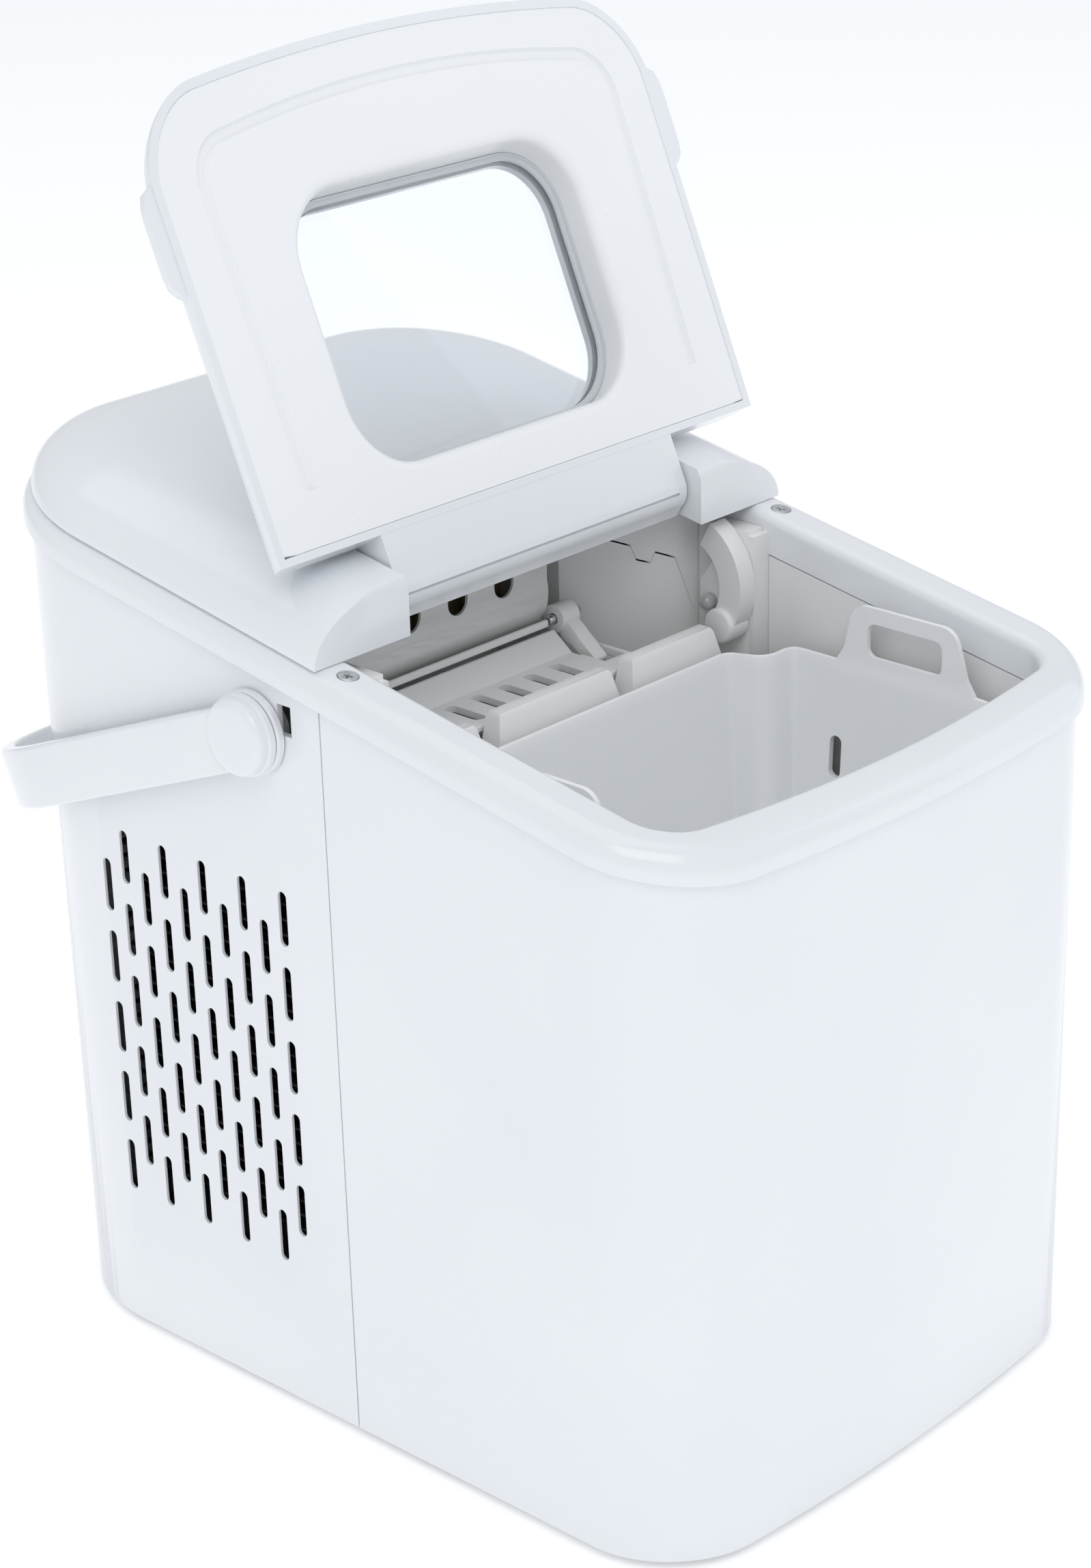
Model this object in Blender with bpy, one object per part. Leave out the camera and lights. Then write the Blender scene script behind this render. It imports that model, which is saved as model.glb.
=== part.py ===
"""Countertop ice maker: body, lid, handle, basket, ice unit and cooling unit as separate pieces.

Lengths are millimetres in a design frame (y = 0 at the side seam, z = 0 at the panels' lower edge).
place() moves that frame to the part frame (feet on z = 0) and scales it to metres.
"""
import bpy
import bmesh
from math import atan, cos, pi, radians, sin, sqrt
from mathutils import Matrix, Vector

MM = 0.001
ORIGIN = Vector((0.0, 18.1, -3.0))
GAP = 0.3

# Body shell
BODY_HALF = 111.0
BODY_FRONT = -138.6
BODY_BOW = 7.6
BODY_FRONT_R = 33.0
BODY_REAR = 169.0
BODY_REAR_R = 60.0
PANEL_T = 2.5
SLOPE = 0.181
SKIRT_LOW = 257.6
TOP_Z = 268.0
SKIRT_OUT = 2.5
SKIRT_R = 6.0
RIM_Z = SKIRT_LOW - TOP_Z

# Front opening in the top frame
OPEN_HALF = 95.0
OPEN_FRONT = -125.0
OPEN_REAR = 152.0
OPEN_R = 12.0
LIP = 14.0
LIP_T = 2.2

# Domed lid and rear cover
DOME_HALF = 110.2
DOME_FRONT = -139.6
DOME_BOW = 9.0
DOME_FRONT_R = 27.0
DOME_REAR = 168.0
DOME_EDGE = 34.0
DOME_H = 19.0
DOME_CROWN = 1.0
DOME_T = 2.5
COVER_FRONT = 1.5
LID_REAR = 0.4
NECK_HALF = 68.0
NECK_GAP = 1.2
HINGE_Y = 15.2
HINGE_Z = 279.7
NECK_R = 8.5
NECK_TOP = 10.4
LID_OPEN = radians(123.1)
WINDOW_HALF = 60.0
WINDOW_Y = (-101.5, -20.5)
WINDOW_R = 20.0

# Side vents
VENT_COLUMNS = 10
VENT_ROWS = 5
VENT_Y = 106.8
VENT_PITCH_Y = 9.45
VENT_Z = 180.7
VENT_PITCH_Z = 26.4
VENT_STAGGER = 12.5
VENT_L = 19.0
VENT_W = 3.8

# Carrying handle
PIVOT_Y = 29.0
PIVOT_Z = 243.0
ARM_X = 117.0
ARM_T = 5.0
ARM_H = 21.0
BAIL_L = 161.5
BAIL_R = 58.0
ARM_ANGLE = radians(-21.7)

# Ice bay, tank and basket
TANK_REAR = -4.3
TANK_FLOOR = 27.0
TANK_REAR_TOP = 214.0
CHAMBER_HALF = 94.7
CHAMBER_IN = 87.0
CHAMBER_REAR = 78.0
CHAMBER_FLOOR = 196.0
CHAMBER_TOP = 262.5
BASKET_HALF = 89.0
BASKET_TOP = 226.0
BASKET_FLOOR = 128.0
BASKET_T = 2.2

# Ice making unit
TRAY_Y = 56.0
TRAY_Z = 247.0
TRAY_R = 18.2
TRAY_T = 1.4
TRAY_X = (-76.0, 32.0)
ROD_Y = 37.0
ROD_Z = 237.0
FINGERS = 9
FINGER_PITCH = 11.0
FINGER_X = -66.0
SHOVEL_Z = 225.5
LEVER_ANGLE = radians(54.5)

# Cooling unit
COMPRESSOR = (34.0, 118.0)
COMPRESSOR_R = 43.0
FAN_Y = 65.0
FAN_Z = 122.0
FAN_R = 38.0

for old in list(bpy.data.objects):
    bpy.data.objects.remove(old, do_unlink=True)

parts = bpy.data.collections.new("Ice maker")
cutters = bpy.data.collections.new("Cutters")
bpy.context.scene.collection.children.link(parts)
bpy.context.scene.collection.children.link(cutters)

WHITE = ((0.86, 0.88, 0.90), 0.18, 0.0)
WARM = ((0.80, 0.80, 0.79), 0.40, 0.0)
DARK = ((0.03, 0.03, 0.035), 0.55, 0.0)
STEEL = ((0.62, 0.62, 0.63), 0.28, 1.0)
ZINC = ((0.55, 0.55, 0.56), 0.45, 1.0)
COPPER = ((0.72, 0.38, 0.22), 0.35, 1.0)
ALUMINIUM = ((0.75, 0.76, 0.77), 0.38, 1.0)
BLACK_PAINT = ((0.02, 0.02, 0.022), 0.35, 0.0)
CLEAR = ((0.85, 0.89, 0.90), 0.05, 0.0)
RUBBER = ((0.10, 0.10, 0.105), 0.80, 0.0)
GREEN = ((0.02, 0.16, 0.07), 0.45, 0.0)
SILICONE = ((0.78, 0.79, 0.78), 0.50, 0.0)


def place(point):
    """Design-frame millimetres to part-frame metres."""
    return (Vector(point) - ORIGIN) * MM


def material(name, look):
    colour, rough, metal = look
    mat = bpy.data.materials.new(name)
    mat.use_nodes = True
    shader = mat.node_tree.nodes["Principled BSDF"]
    shader.inputs["Base Color"].default_value = (*colour, 1.0)
    shader.inputs["Roughness"].default_value = rough
    shader.inputs["Metallic"].default_value = metal
    if look is CLEAR:
        shader.inputs["Transmission Weight"].default_value = 0.9
    return mat


def piece(name, bm, look, pivot=None, smooth=False):
    """Finish a mesh as a named piece with its origin on its pivot, or as a cutter when look is None."""
    home = place(pivot) if pivot else Vector((0.0, 0.0, 0.0))
    for vert in bm.verts:
        vert.co = place(vert.co) - home
    bmesh.ops.recalc_face_normals(bm, faces=bm.faces)
    if bm.calc_volume(signed=True) < 0.0:
        bmesh.ops.reverse_faces(bm, faces=bm.faces)
    mesh = bpy.data.meshes.new(name)
    bm.to_mesh(mesh)
    bm.free()
    obj = bpy.data.objects.new(name, mesh)
    obj.location = home
    if look is None:
        cutters.objects.link(obj)
        obj.hide_render = True
        obj.display_type = "WIRE"
        return obj
    parts.objects.link(obj)
    mesh.materials.append(material(name, look))
    if smooth:
        mesh.shade_smooth()
    return obj


def boolean(target, tool, operation="DIFFERENCE"):
    mod = target.modifiers.new(tool.name, "BOOLEAN")
    mod.operation = operation
    mod.solver = "EXACT"
    mod.object = tool
    return mod


def loft(rings, closed=False):
    """Skin rings of equal length; caps the two ends, or joins them when closed."""
    bm = bmesh.new()
    rows = [[bm.verts.new(p) for p in ring] for ring in rings]
    count = len(rows[0])
    spans = len(rows) if closed else len(rows) - 1
    for i in range(spans):
        near = rows[i]
        far = rows[(i + 1) % len(rows)]
        for j in range(count):
            k = (j + 1) % count
            bm.faces.new((near[j], near[k], far[k], far[j]))
    if not closed:
        bm.faces.new(list(reversed(rows[0])))
        bm.faces.new(rows[-1])
    return bm


def box(xs, ys, zs):
    ring = [(xs[0], ys[0]), (xs[1], ys[0]), (xs[1], ys[1]), (xs[0], ys[1])]
    return loft([[(x, y, z) for x, y in ring] for z in zs])


def extrude_x(outline, x0, x1):
    """Prism along x from a (y, z) outline."""
    return loft([[(x, y, z) for y, z in outline] for x in (x0, x1)])


def extrude_z(outline, z0, z1):
    """Prism along z from an (x, y) outline."""
    return loft([[(x, y, z) for x, y in outline] for z in (z0, z1)])


def lathe(origin, axis, profile, segments=24):
    """Solid of revolution; profile holds (distance along the axis, radius) pairs."""
    turn = Vector((0, 0, 1)).rotation_difference(Vector(axis)).to_matrix()
    rings = []
    for along, radius in profile:
        ring = []
        for i in range(segments):
            a = 2 * pi * i / segments
            local = Vector((radius * cos(a), radius * sin(a), along))
            ring.append(Vector(origin) + turn @ local)
        rings.append(ring)
    return loft(rings)


def ring_lathe(origin, axis, profile, segments=24):
    """Ring of revolution from a closed (along, radius) profile."""
    turn = Vector((0, 0, 1)).rotation_difference(Vector(axis)).to_matrix()
    rings = []
    for i in range(segments):
        a = 2 * pi * i / segments
        ring = [Vector(origin) + turn @ Vector((r * cos(a), r * sin(a), s)) for s, r in profile]
        rings.append(ring)
    return loft(rings, closed=True)


def tube(path, radius, segments=8):
    """Round tube swept along a path of points."""
    pts = [Vector(p) for p in path]
    rings = []
    side = None
    for i, p in enumerate(pts):
        ahead = pts[min(i + 1, len(pts) - 1)] - pts[max(i - 1, 0)]
        ahead.normalize()
        if side is None:
            side = ahead.orthogonal().normalized()
        side = (side - ahead * side.dot(ahead)).normalized()
        up = ahead.cross(side)
        ring = []
        for k in range(segments):
            a = 2 * pi * k / segments
            ring.append(p + (side * cos(a) + up * sin(a)) * radius)
        rings.append(ring)
    return loft(rings)


def bend(points, radius, steps=4):
    """Round the inner corners of a path."""
    pts = [Vector(p) for p in points]
    path = [pts[0]]
    for before, corner, after in zip(pts, pts[1:], pts[2:]):
        a = (before - corner).normalized()
        b = (after - corner).normalized()
        reach = min(radius, (before - corner).length * 0.45, (after - corner).length * 0.45)
        start = corner + a * reach
        end = corner + b * reach
        for i in range(steps + 1):
            t = i / steps
            path.append(start * (1 - t) ** 2 + corner * 2 * t * (1 - t) + end * t * t)
    path.append(pts[-1])
    return path


def arc(cx, cy, radius, start, stop, steps):
    out = []
    for i in range(steps + 1):
        a = radians(start + (stop - start) * i / steps)
        out.append((cx + radius * cos(a), cy + radius * sin(a)))
    return out


def outline(half, front, rear, front_r, rear_r, bow, inset, steps=6):
    """Rounded plan outline from the left side seam round the front, the right and the rear."""
    half = half - inset
    front = front + inset
    rear = rear - inset
    fr = max(front_r - inset, 0.5)
    rr = max(rear_r - inset, 0.5)
    pts = [(-half, 0.0)]
    pts += arc(-half + fr, front + fr, fr, 180, 270, steps)
    span = half - fr
    pts += [(span * t, front) for t in (-0.6, -0.3, 0.0, 0.3, 0.6)]
    pts += arc(half - fr, front + fr, fr, 270, 360, steps)
    pts += [(half, 0.0)]
    seam = len(pts) - 1
    pts += arc(half - rr, rear - rr, rr, 0, 90, steps)
    pts += [(0.0, rear)]
    pts += arc(-half + rr, rear - rr, rr, 90, 180, steps)
    bowed = []
    for i, (x, y) in enumerate(pts):
        if 0 < i < seam:
            y -= bow * (1 - (x / (half + inset)) ** 2) * min(1.0, (fr + front - y) / fr + 0.0001)
        bowed.append((x, y))
    return bowed, seam


def body_outline(inset):
    return outline(BODY_HALF, BODY_FRONT, BODY_REAR, BODY_FRONT_R, BODY_REAR_R, BODY_BOW, inset)


def opening_outline(inset):
    return outline(OPEN_HALF, OPEN_FRONT, OPEN_REAR, OPEN_R, 46.0, BODY_BOW, inset)[0]


def dome_outline(inset):
    return outline(DOME_HALF, DOME_FRONT, DOME_REAR, DOME_FRONT_R, 59.0, DOME_BOW, inset)[0]


def sloped(points, height):
    """Lift (x, y) points to a height above the sloping top plane."""
    return [(x, y, TOP_Z + SLOPE * y + height) for x, y in points]


def dome_height(inset):
    t = 1 - min(inset, DOME_EDGE) / DOME_EDGE
    return DOME_H * sqrt(1 - t * t)


def dome(shrink, drop, base):
    """Solid dome over the whole top; shrink and drop give its hollow."""
    rings = [sloped(dome_outline(shrink), base)]
    for inset in (0.6, 2.5, 6.0, 12.0, 20.0, DOME_EDGE):
        rings.append(sloped(dome_outline(inset + shrink), dome_height(inset) - drop))
    core = dome_outline(DOME_EDGE + shrink)
    for scale in (0.6, 0.25):
        rise = DOME_H + DOME_CROWN * (1 - scale * scale) - drop
        rings.append(sloped([(x * scale, 10 + (y - 10) * scale) for x, y in core], rise))
    return loft(rings)


def strip(points, inner, low, high):
    """Upright wall between an outer and an inner line of points; high may follow the slope."""
    rings = []
    for (xo, yo), (xi, yi) in zip(points, inner):
        rings.append([(xo, yo, low), (xi, yi, low), (xi, yi, high(yi)), (xo, yo, high(yo))])
    return loft(rings)


def skirt_top(y):
    return SKIRT_LOW + SLOPE * y + 3.5


def merge(*meshes):
    """Put several bodies into one mesh, for use as one cutter."""
    out = bmesh.new()
    for bm in meshes:
        mesh = bpy.data.meshes.new("merge")
        bm.to_mesh(mesh)
        bm.free()
        out.from_mesh(mesh)
        bpy.data.meshes.remove(mesh)
    return out


def stadium(cy, cz, length, width, steps=4):
    """Upright slot outline with round ends, in (y, z)."""
    r = width / 2
    reach = length / 2 - r
    top = arc(cy, cz + reach, r, 0, 180, steps)
    return top + arc(cy, cz - reach, r, 180, 360, steps)


# Base pan with its raised edge
outer, seam = body_outline(PANEL_T + GAP)
inner, seam = body_outline(PANEL_T + GAP + 2.2)
base_rings = []
for pts, z in ((outer, 0.5), (outer, 16.0), (inner, 16.0), (inner, 4.0)):
    base_rings.append([(x, y, z) for x, y in pts])
base_pan = piece("base_pan", loft(base_rings), ZINC)

# Front and rear panels meet at the side seams
outer, seam = body_outline(0.0)
inner, seam = body_outline(PANEL_T)
front = [(-BODY_HALF, -GAP / 2)] + outer[1:seam] + [(BODY_HALF, -GAP / 2)]
front_in = [(-BODY_HALF + PANEL_T, -GAP / 2)] + inner[1:seam] + [(BODY_HALF - PANEL_T, -GAP / 2)]
front_panel = piece("front_panel", strip(front, front_in, 0.0, skirt_top), WHITE)

rear = [(BODY_HALF, GAP / 2)] + outer[seam + 1:] + [(-BODY_HALF, GAP / 2)]
rear_in = [(BODY_HALF - PANEL_T, GAP / 2)] + inner[seam + 1:] + [(-BODY_HALF + PANEL_T, GAP / 2)]
rear_panel = piece("rear_panel", strip(rear, rear_in, 0.0, skirt_top), WHITE)

vents = []
for column in range(VENT_COLUMNS):
    y = VENT_Y - VENT_PITCH_Y * column
    high = VENT_Z if column % 2 else VENT_Z - VENT_STAGGER
    for row in range(VENT_ROWS):
        slot = stadium(y, high - VENT_PITCH_Z * row, VENT_L, VENT_W, 3)
        vents.append(extrude_x(slot, -BODY_HALF - 2, -BODY_HALF + PANEL_T + 2))
        vents.append(extrude_x(slot, BODY_HALF - PANEL_T - 2, BODY_HALF + 2))
vent_cutter = piece("vent_cutter", merge(*vents), None)
boolean(rear_panel, vent_cutter)

# Top frame: skirt, sloping flange and the lip round the opening
frame_rings = [sloped(body_outline(-SKIRT_OUT)[0], RIM_Z)]
for step in range(5):
    a = pi / 2 * step / 4
    inset = SKIRT_R * (1 - cos(a)) - SKIRT_OUT
    frame_rings.append(sloped(body_outline(inset)[0], SKIRT_R * (sin(a) - 1)))
for step in range(4):
    a = pi / 2 * step / 3
    frame_rings.append(sloped(opening_outline(-3 * (1 - sin(a))), 3 * (cos(a) - 1)))
frame_rings.append(sloped(opening_outline(0.0), -LIP))
frame_rings.append(sloped(opening_outline(-LIP_T), -LIP))
frame_rings.append(sloped(opening_outline(-LIP_T), -5.4))
frame_rings.append(sloped(opening_outline(-LIP_T - 3.0), -2.6))
frame_rings.append(sloped(body_outline(6.0)[0], -2.6))
frame_rings.append(sloped(body_outline(-GAP)[0], -6.6))
frame_rings.append(sloped(body_outline(-GAP)[0], RIM_Z))
top_frame = piece("top_frame", loft(frame_rings, closed=True), WHITE)

# Rear cover: the back of the dome, with two lobes either side of the lid's neck


def hinge_prism(line, x0, x1):
    """Prism along x; the line holds (back, up) from the hinge axis, measured along and off the slope."""
    lean = atan(SLOPE)
    pts = []
    for back, up in line:
        y = HINGE_Y + back * cos(lean) - up * sin(lean)
        z = HINGE_Z + back * sin(lean) + up * cos(lean)
        pts.append((y, z))
    return extrude_x(pts, x0, x1)


def notch_walls(grow):
    """Room for the neck: its rear wall leans back like the open lid."""
    return [(-34.0, -60.0), (12.9 + grow, -60.0), (12.9 + grow, -2.3), (25.0 + grow, 16.3), (25.0 + grow, 40.0),
            (-34.0, 40.0)]


cover = piece("rear_cover", dome(0.0, 0.0, GAP), WHITE)
low, high = 200.0, 340.0
notch = (-NECK_HALF - NECK_GAP, NECK_HALF + NECK_GAP)
hollow = piece("cover_hollow", dome(DOME_T, DOME_T, -6.0), None)
hollow_front = piece("cover_hollow_front", box((-130, 130), (-200, COVER_FRONT + DOME_T), (low, high)), None)
hollow_notch = piece("cover_hollow_notch", hinge_prism(notch_walls(DOME_T), notch[0] - DOME_T, notch[1] + DOME_T), None)
boolean(hollow, hollow_front)
boolean(hollow, hollow_notch)
boolean(cover, hollow)
cover_front = piece("cover_front", box((-130, 130), (-200, COVER_FRONT), (low, high)), None)
cover_notch = piece("cover_notch", hinge_prism(notch_walls(0.0), *notch), None)
boolean(cover, cover_front)
boolean(cover, cover_notch)
# The lobes' upper front edge is eased, so that the lid's rear corner swings past it
lobe_edge = [(-13.8, 5.7), (-7.2, 14.1), (-7.2, 24.0), (-24.0, 24.0), (-24.0, 5.7)]
cover_edge = piece("cover_edge", hinge_prism(lobe_edge, -130.0, 130.0), None)
boolean(cover, cover_edge)

# Hinge pins run from the lobes into the ends of the neck
HINGE = (0.0, HINGE_Y, HINGE_Z)
pin_bores = []
for name, side in (("hinge_pin_left", -1), ("hinge_pin_right", 1)):
    start = (side * (NECK_HALF - 9), HINGE_Y, HINGE_Z)
    reach = NECK_GAP + DOME_T + 9
    shank = reach + GAP
    profile = ((0.5, 2.0), (1.0, 2.5), (shank, 2.5), (shank, 4.0), (shank + 2, 4.0))
    piece(name, lathe(start, (side, 0, 0), profile, 16), STEEL, HINGE, True)
    pin_bores.append(lathe(start, (side, 0, 0), ((0.0, 2.8), (reach + 1, 2.8)), 16))
pin_cutter = piece("pin_cutter", merge(*pin_bores), None)
boolean(cover, pin_cutter)


def opened(bm):
    """Turn lid pieces from closed to the open rest position."""
    turn = Matrix.Rotation(-LID_OPEN, 4, "X")
    shift = Matrix.Translation(Vector(HINGE))
    bmesh.ops.transform(bm, matrix=shift @ turn @ shift.inverted(), verts=bm.verts)
    return bm


def lid_cutter(name, bm):
    return piece(name, opened(bm), None)


def window_outline(grow):
    half = WINDOW_HALF + grow
    front = WINDOW_Y[0] - grow
    back = WINDOW_Y[1] + grow
    r = WINDOW_R + grow
    pts = arc(half - r, front + r, r, 270, 360, 5)
    pts += arc(half - r, back - r, r, 0, 90, 5)
    pts += arc(-half + r, back - r, r, 90, 180, 5)
    return pts + arc(-half + r, front + r, r, 180, 270, 5)


# Lid shell: the front of the dome, its neck, and the finger tabs
lid_shell = piece("lid_shell", opened(dome(0.0, 0.0, GAP)), WHITE, HINGE)
lid_hollow = lid_cutter("lid_hollow", dome(DOME_T, DOME_T, -6.0))
lid_hollow_rear = lid_cutter("lid_hollow_rear", box((-130, 130), (LID_REAR - DOME_T, 200), (200, 340)))
boolean(lid_hollow, lid_hollow_rear)
relief_in = [(-16.8, 0.1), (-25.1, 12.3), (-25.1, 40.0), (0.0, 40.0), (0.0, 0.1)]
boolean(lid_hollow, lid_cutter("lid_hollow_relief", hinge_prism(relief_in, -120.0, 120.0)))
boolean(lid_shell, lid_hollow)
boolean(lid_shell, lid_cutter("lid_rear", box((-130, 130), (LID_REAR, 200), (200, 340))))
boolean(lid_shell, lid_cutter("lid_window_hole", extrude_z(window_outline(0.0), 220, 330)))
slope_angle = atan(SLOPE)
for name, x0, x1 in (("left", -120.0, -NECK_HALF - 0.4), ("right", NECK_HALF + 0.4, 120.0)):
    relief = [(-14.0, 0.5), (-23.0, 13.8), (-23.0, 30.0), (-4.0, 30.0), (-4.0, 0.5)]
    boolean(lid_shell, lid_cutter("lid_relief_" + name, hinge_prism(relief, x0, x1)))
neck = [(-17.0, -8.4)] + arc(0.0, 0.0, NECK_R, -90, -20, 4) + arc(0.0, 0.0, NECK_TOP, 0, 90, 6) + [(-17.0, NECK_TOP)]
boolean(lid_shell, lid_cutter("lid_neck", hinge_prism(neck, -NECK_HALF, NECK_HALF)), "UNION")
tabs = []
for side in (-1, 1):
    a = side * (DOME_HALF - 1.0)
    b = side * (DOME_HALF + 5.0)
    rows = []
    for y, x, low_z, high_z in ((-112, a, 1.0, 4.5), (-108, b, 1.0, 4.0), (-86, b, 1.0, 4.0), (-82, a, 1.0, 4.5)):
        z = TOP_Z + SLOPE * y
        rows.append([(a - side * 2, y, z + low_z), (x, y, z + low_z), (x, y, z + high_z), (a - side * 2, y, z + high_z)])
    tabs.append(loft(rows))
boolean(lid_shell, lid_cutter("lid_tabs", merge(*tabs)), "UNION")
boolean(lid_shell, lid_cutter("lid_pin_bores", merge(
    lathe((-NECK_HALF + 9.2, HINGE_Y, HINGE_Z), (-1, 0, 0), ((0.0, 2.8), (12, 2.8)), 16),
    lathe((NECK_HALF - 9.2, HINGE_Y, HINGE_Z), (1, 0, 0), ((0.0, 2.8), (12, 2.8)), 16))))

# Lid liner with its window well, and the clear window
liner = []
for x, y in dome_outline(DOME_T + 2.0):
    liner.append((x, min(y, LID_REAR - DOME_T - GAP)))
liner_front = [p for i, p in enumerate(liner) if p[1] < LID_REAR - DOME_T - GAP]
liner_front += [(DOME_HALF - 4.5, LID_REAR - DOME_T - GAP), (-DOME_HALF + 4.5, LID_REAR - DOME_T - GAP)]
lid_liner = piece("lid_liner", opened(loft([sloped(liner_front, 0.6), sloped(liner_front, 2.6)])), WARM, HINGE)
well = loft([sloped(window_outline(4.5), 1.5), sloped(window_outline(4.5), 13.0)])
boolean(lid_liner, lid_cutter("liner_well", well), "UNION")
boolean(lid_liner, lid_cutter("liner_hole", extrude_z(window_outline(2.6), 220, 330)))
groove_out = dome_outline(14.0)
groove_in = dome_outline(18.5)
groove_rows = []
for (xo, yo), (xi, yi) in zip(groove_out, groove_in):
    if -142 < yo < -20:
        zo = TOP_Z + SLOPE * yo
        zi = TOP_Z + SLOPE * yi
        groove_rows.append([(xo, yo, zo), (xi, yi, zi), (xi, yi, zi + 1.6), (xo, yo, zo + 1.6)])
boolean(lid_liner, lid_cutter("liner_groove", loft(groove_rows)))
pane = loft([sloped(window_outline(4.3), 13.3), sloped(window_outline(4.3), 15.8)])
lid_window = piece("lid_window", opened(pane), CLEAR, HINGE)

# Two countersunk screws in the flange beside the hinge
for name, x in (("frame_screw_left", -103.0), ("frame_screw_right", 103.0)):
    y = -5.5
    z = TOP_Z + SLOPE * y
    tilt = (0.0, -sin(slope_angle), cos(slope_angle))
    profile = ((-9.0, 0.8), (-8.0, 1.5), (-2.4, 1.5), (-0.4, 3.2), (0.0, 3.2))
    screw = piece(name, lathe((x, y, z), tilt, profile, 16), STEEL, (x, y, z), True)
    hole = piece(name + "_hole", lathe((x, y, z), tilt, ((-12.0, 1.8), (-2.5, 1.8), (-0.3, 3.5), (3.0, 3.5)), 16), None)
    boolean(top_frame, hole)

# Carrying handle: one band from pivot to pivot round the back
PIVOT = (0.0, PIVOT_Y, PIVOT_Z)


def bail(offset):
    half = ARM_X + offset
    radius = BAIL_R + offset
    length = BAIL_L + offset
    pts = [(-half, 0.0), (-half, 40.0), (-half, 80.0)]
    pts += arc(-half + radius, length - radius, radius, 180, 90, 8)
    pts += arc(half - radius, length - radius, radius, 90, 0, 8)
    return pts + [(half, 80.0), (half, 40.0), (half, 0.0)]


def along_arm(x, reach, rise):
    y = PIVOT_Y + reach * cos(ARM_ANGLE) - rise * sin(ARM_ANGLE)
    z = PIVOT_Z + reach * sin(ARM_ANGLE) + rise * cos(ARM_ANGLE)
    return (x, y, z)


rows = []
for (xo, so), (xi, si) in zip(bail(ARM_T / 2), bail(-ARM_T / 2)):
    low = -ARM_H / 2
    high = ARM_H / 2
    rows.append([along_arm(xo, so, low + 1), along_arm(xi, si, low), along_arm(xi, si, high), along_arm(xo, so, high - 1)])
handle = piece("carry_handle", loft(rows), WHITE, PIVOT)
for side in (-1, 1):
    hub_at = (side * 114.5, PIVOT_Y, PIVOT_Z)
    hub = lathe(hub_at, (side, 0, 0), ((0.0, 13.4), (2.6, 13.4), (3.0, 12.6), (5.4, 12.6), (6.4, 11.4), (6.9, 9.0)), 28)
    boolean(handle, piece("handle_hub_" + str(side), hub, None), "UNION")
bores = []
for side in (-1, 1):
    start = (side * 113.0, PIVOT_Y, PIVOT_Z)
    bores.append(lathe(start, (side, 0, 0), ((0.0, 5.4), (5.2, 5.4)), 24))
boolean(handle, piece("handle_bores", merge(*bores), None))

# Pivot studs: a boss inside the panel and a shank into the hub
stud_bores = []
for name, side in (("handle_pivot_left", -1), ("handle_pivot_right", 1)):
    start = (side * 104.0, PIVOT_Y, PIVOT_Z)
    profile = ((0.0, 8.0), (BODY_HALF - 104.0 - PANEL_T - GAP, 8.0), (BODY_HALF - 104.0 - PANEL_T - GAP, 5.0),
               (13.2, 5.0), (13.7, 4.4))
    piece(name, lathe(start, (side, 0, 0), profile, 24), WHITE, None, True)
    stud_bores.append(lathe((side * 107.0, PIVOT_Y, PIVOT_Z), (side, 0, 0), ((0.0, 5.3), (6.0, 5.3)), 24))
    ring = ((0.0, 5.6), (0.0, 13.8), (2.9, 13.8), (2.9, 5.6))
    washer = ring_lathe((side * (BODY_HALF + GAP), PIVOT_Y, PIVOT_Z), (side, 0, 0), ring, 28)
    piece(name.replace("pivot", "washer"), washer, WHITE, None, True)
boolean(rear_panel, piece("stud_bores", merge(*stud_bores), None))

# Water tank: an open tub with a low rear wall


def tub_outline(grow, rear_y):
    pts = []
    for x, y in opening_outline(-grow):
        if y < -10:
            pts.append((x, y))
    half = OPEN_HALF + grow
    return [(-half, rear_y)] + pts + [(half, rear_y)]


tank_out = tub_outline(LIP_T, TANK_REAR)
tank_in = tub_outline(0.0, TANK_REAR - 2.2)
tank_rows = [[(x, y, TANK_FLOOR) for x, y in tank_out],
             [(x, y, TOP_Z + SLOPE * y - LIP - GAP) for x, y in tank_out],
             [(x, y, TOP_Z + SLOPE * y - LIP - GAP) for x, y in tank_in],
             [(x, y, TANK_FLOOR + 2.5) for x, y in tank_in]]
tank = piece("water_tank", loft(tank_rows), WARM)
rear_gap = box((-120, 120), (TANK_REAR - 2.3, 10), (TANK_REAR_TOP, 300))
boolean(tank, piece("tank_rear_gap", rear_gap, None))

# Ice chamber behind the tank, open to the front and the top
chamber = piece("ice_chamber", box((-CHAMBER_HALF, CHAMBER_HALF), (TANK_REAR + GAP, CHAMBER_REAR),
                                   (CHAMBER_FLOOR, CHAMBER_TOP)), WARM)
boolean(chamber, piece("chamber_hollow", box((-CHAMBER_IN, CHAMBER_IN), (-20, CHAMBER_REAR - 2.2),
                                             (CHAMBER_FLOOR + 2.5, 300)), None))
boolean(chamber, piece("chamber_bar", box((-CHAMBER_IN - 0.5, 29.5), (36.0, 37.6), (235.2, 237.8)), None), "UNION")

# Guard rail with three wedge blocks between the shovel and the basket
rail = piece("ice_guard", box((-CHAMBER_IN + GAP, 73.0), (TANK_REAR - 1.2, 6.5), (TANK_REAR_TOP + GAP, 219.5)), WARM)
wedge = [(-5.5, 218.0), (3.2, 218.0), (3.2, 231.8), (1.6, 233.5), (-1.2, 233.5), (-3.0, 231.8)]
blocks = []
for x0, x1 in ((-86.4, -44.0), (-38.0, 20.0), (26.0, 72.0)):
    blocks.append(extrude_x(wedge, x0, x1))
boolean(rail, piece("guard_blocks", merge(*blocks), None), "UNION")

# Removable ice basket with two raised loops


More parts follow.
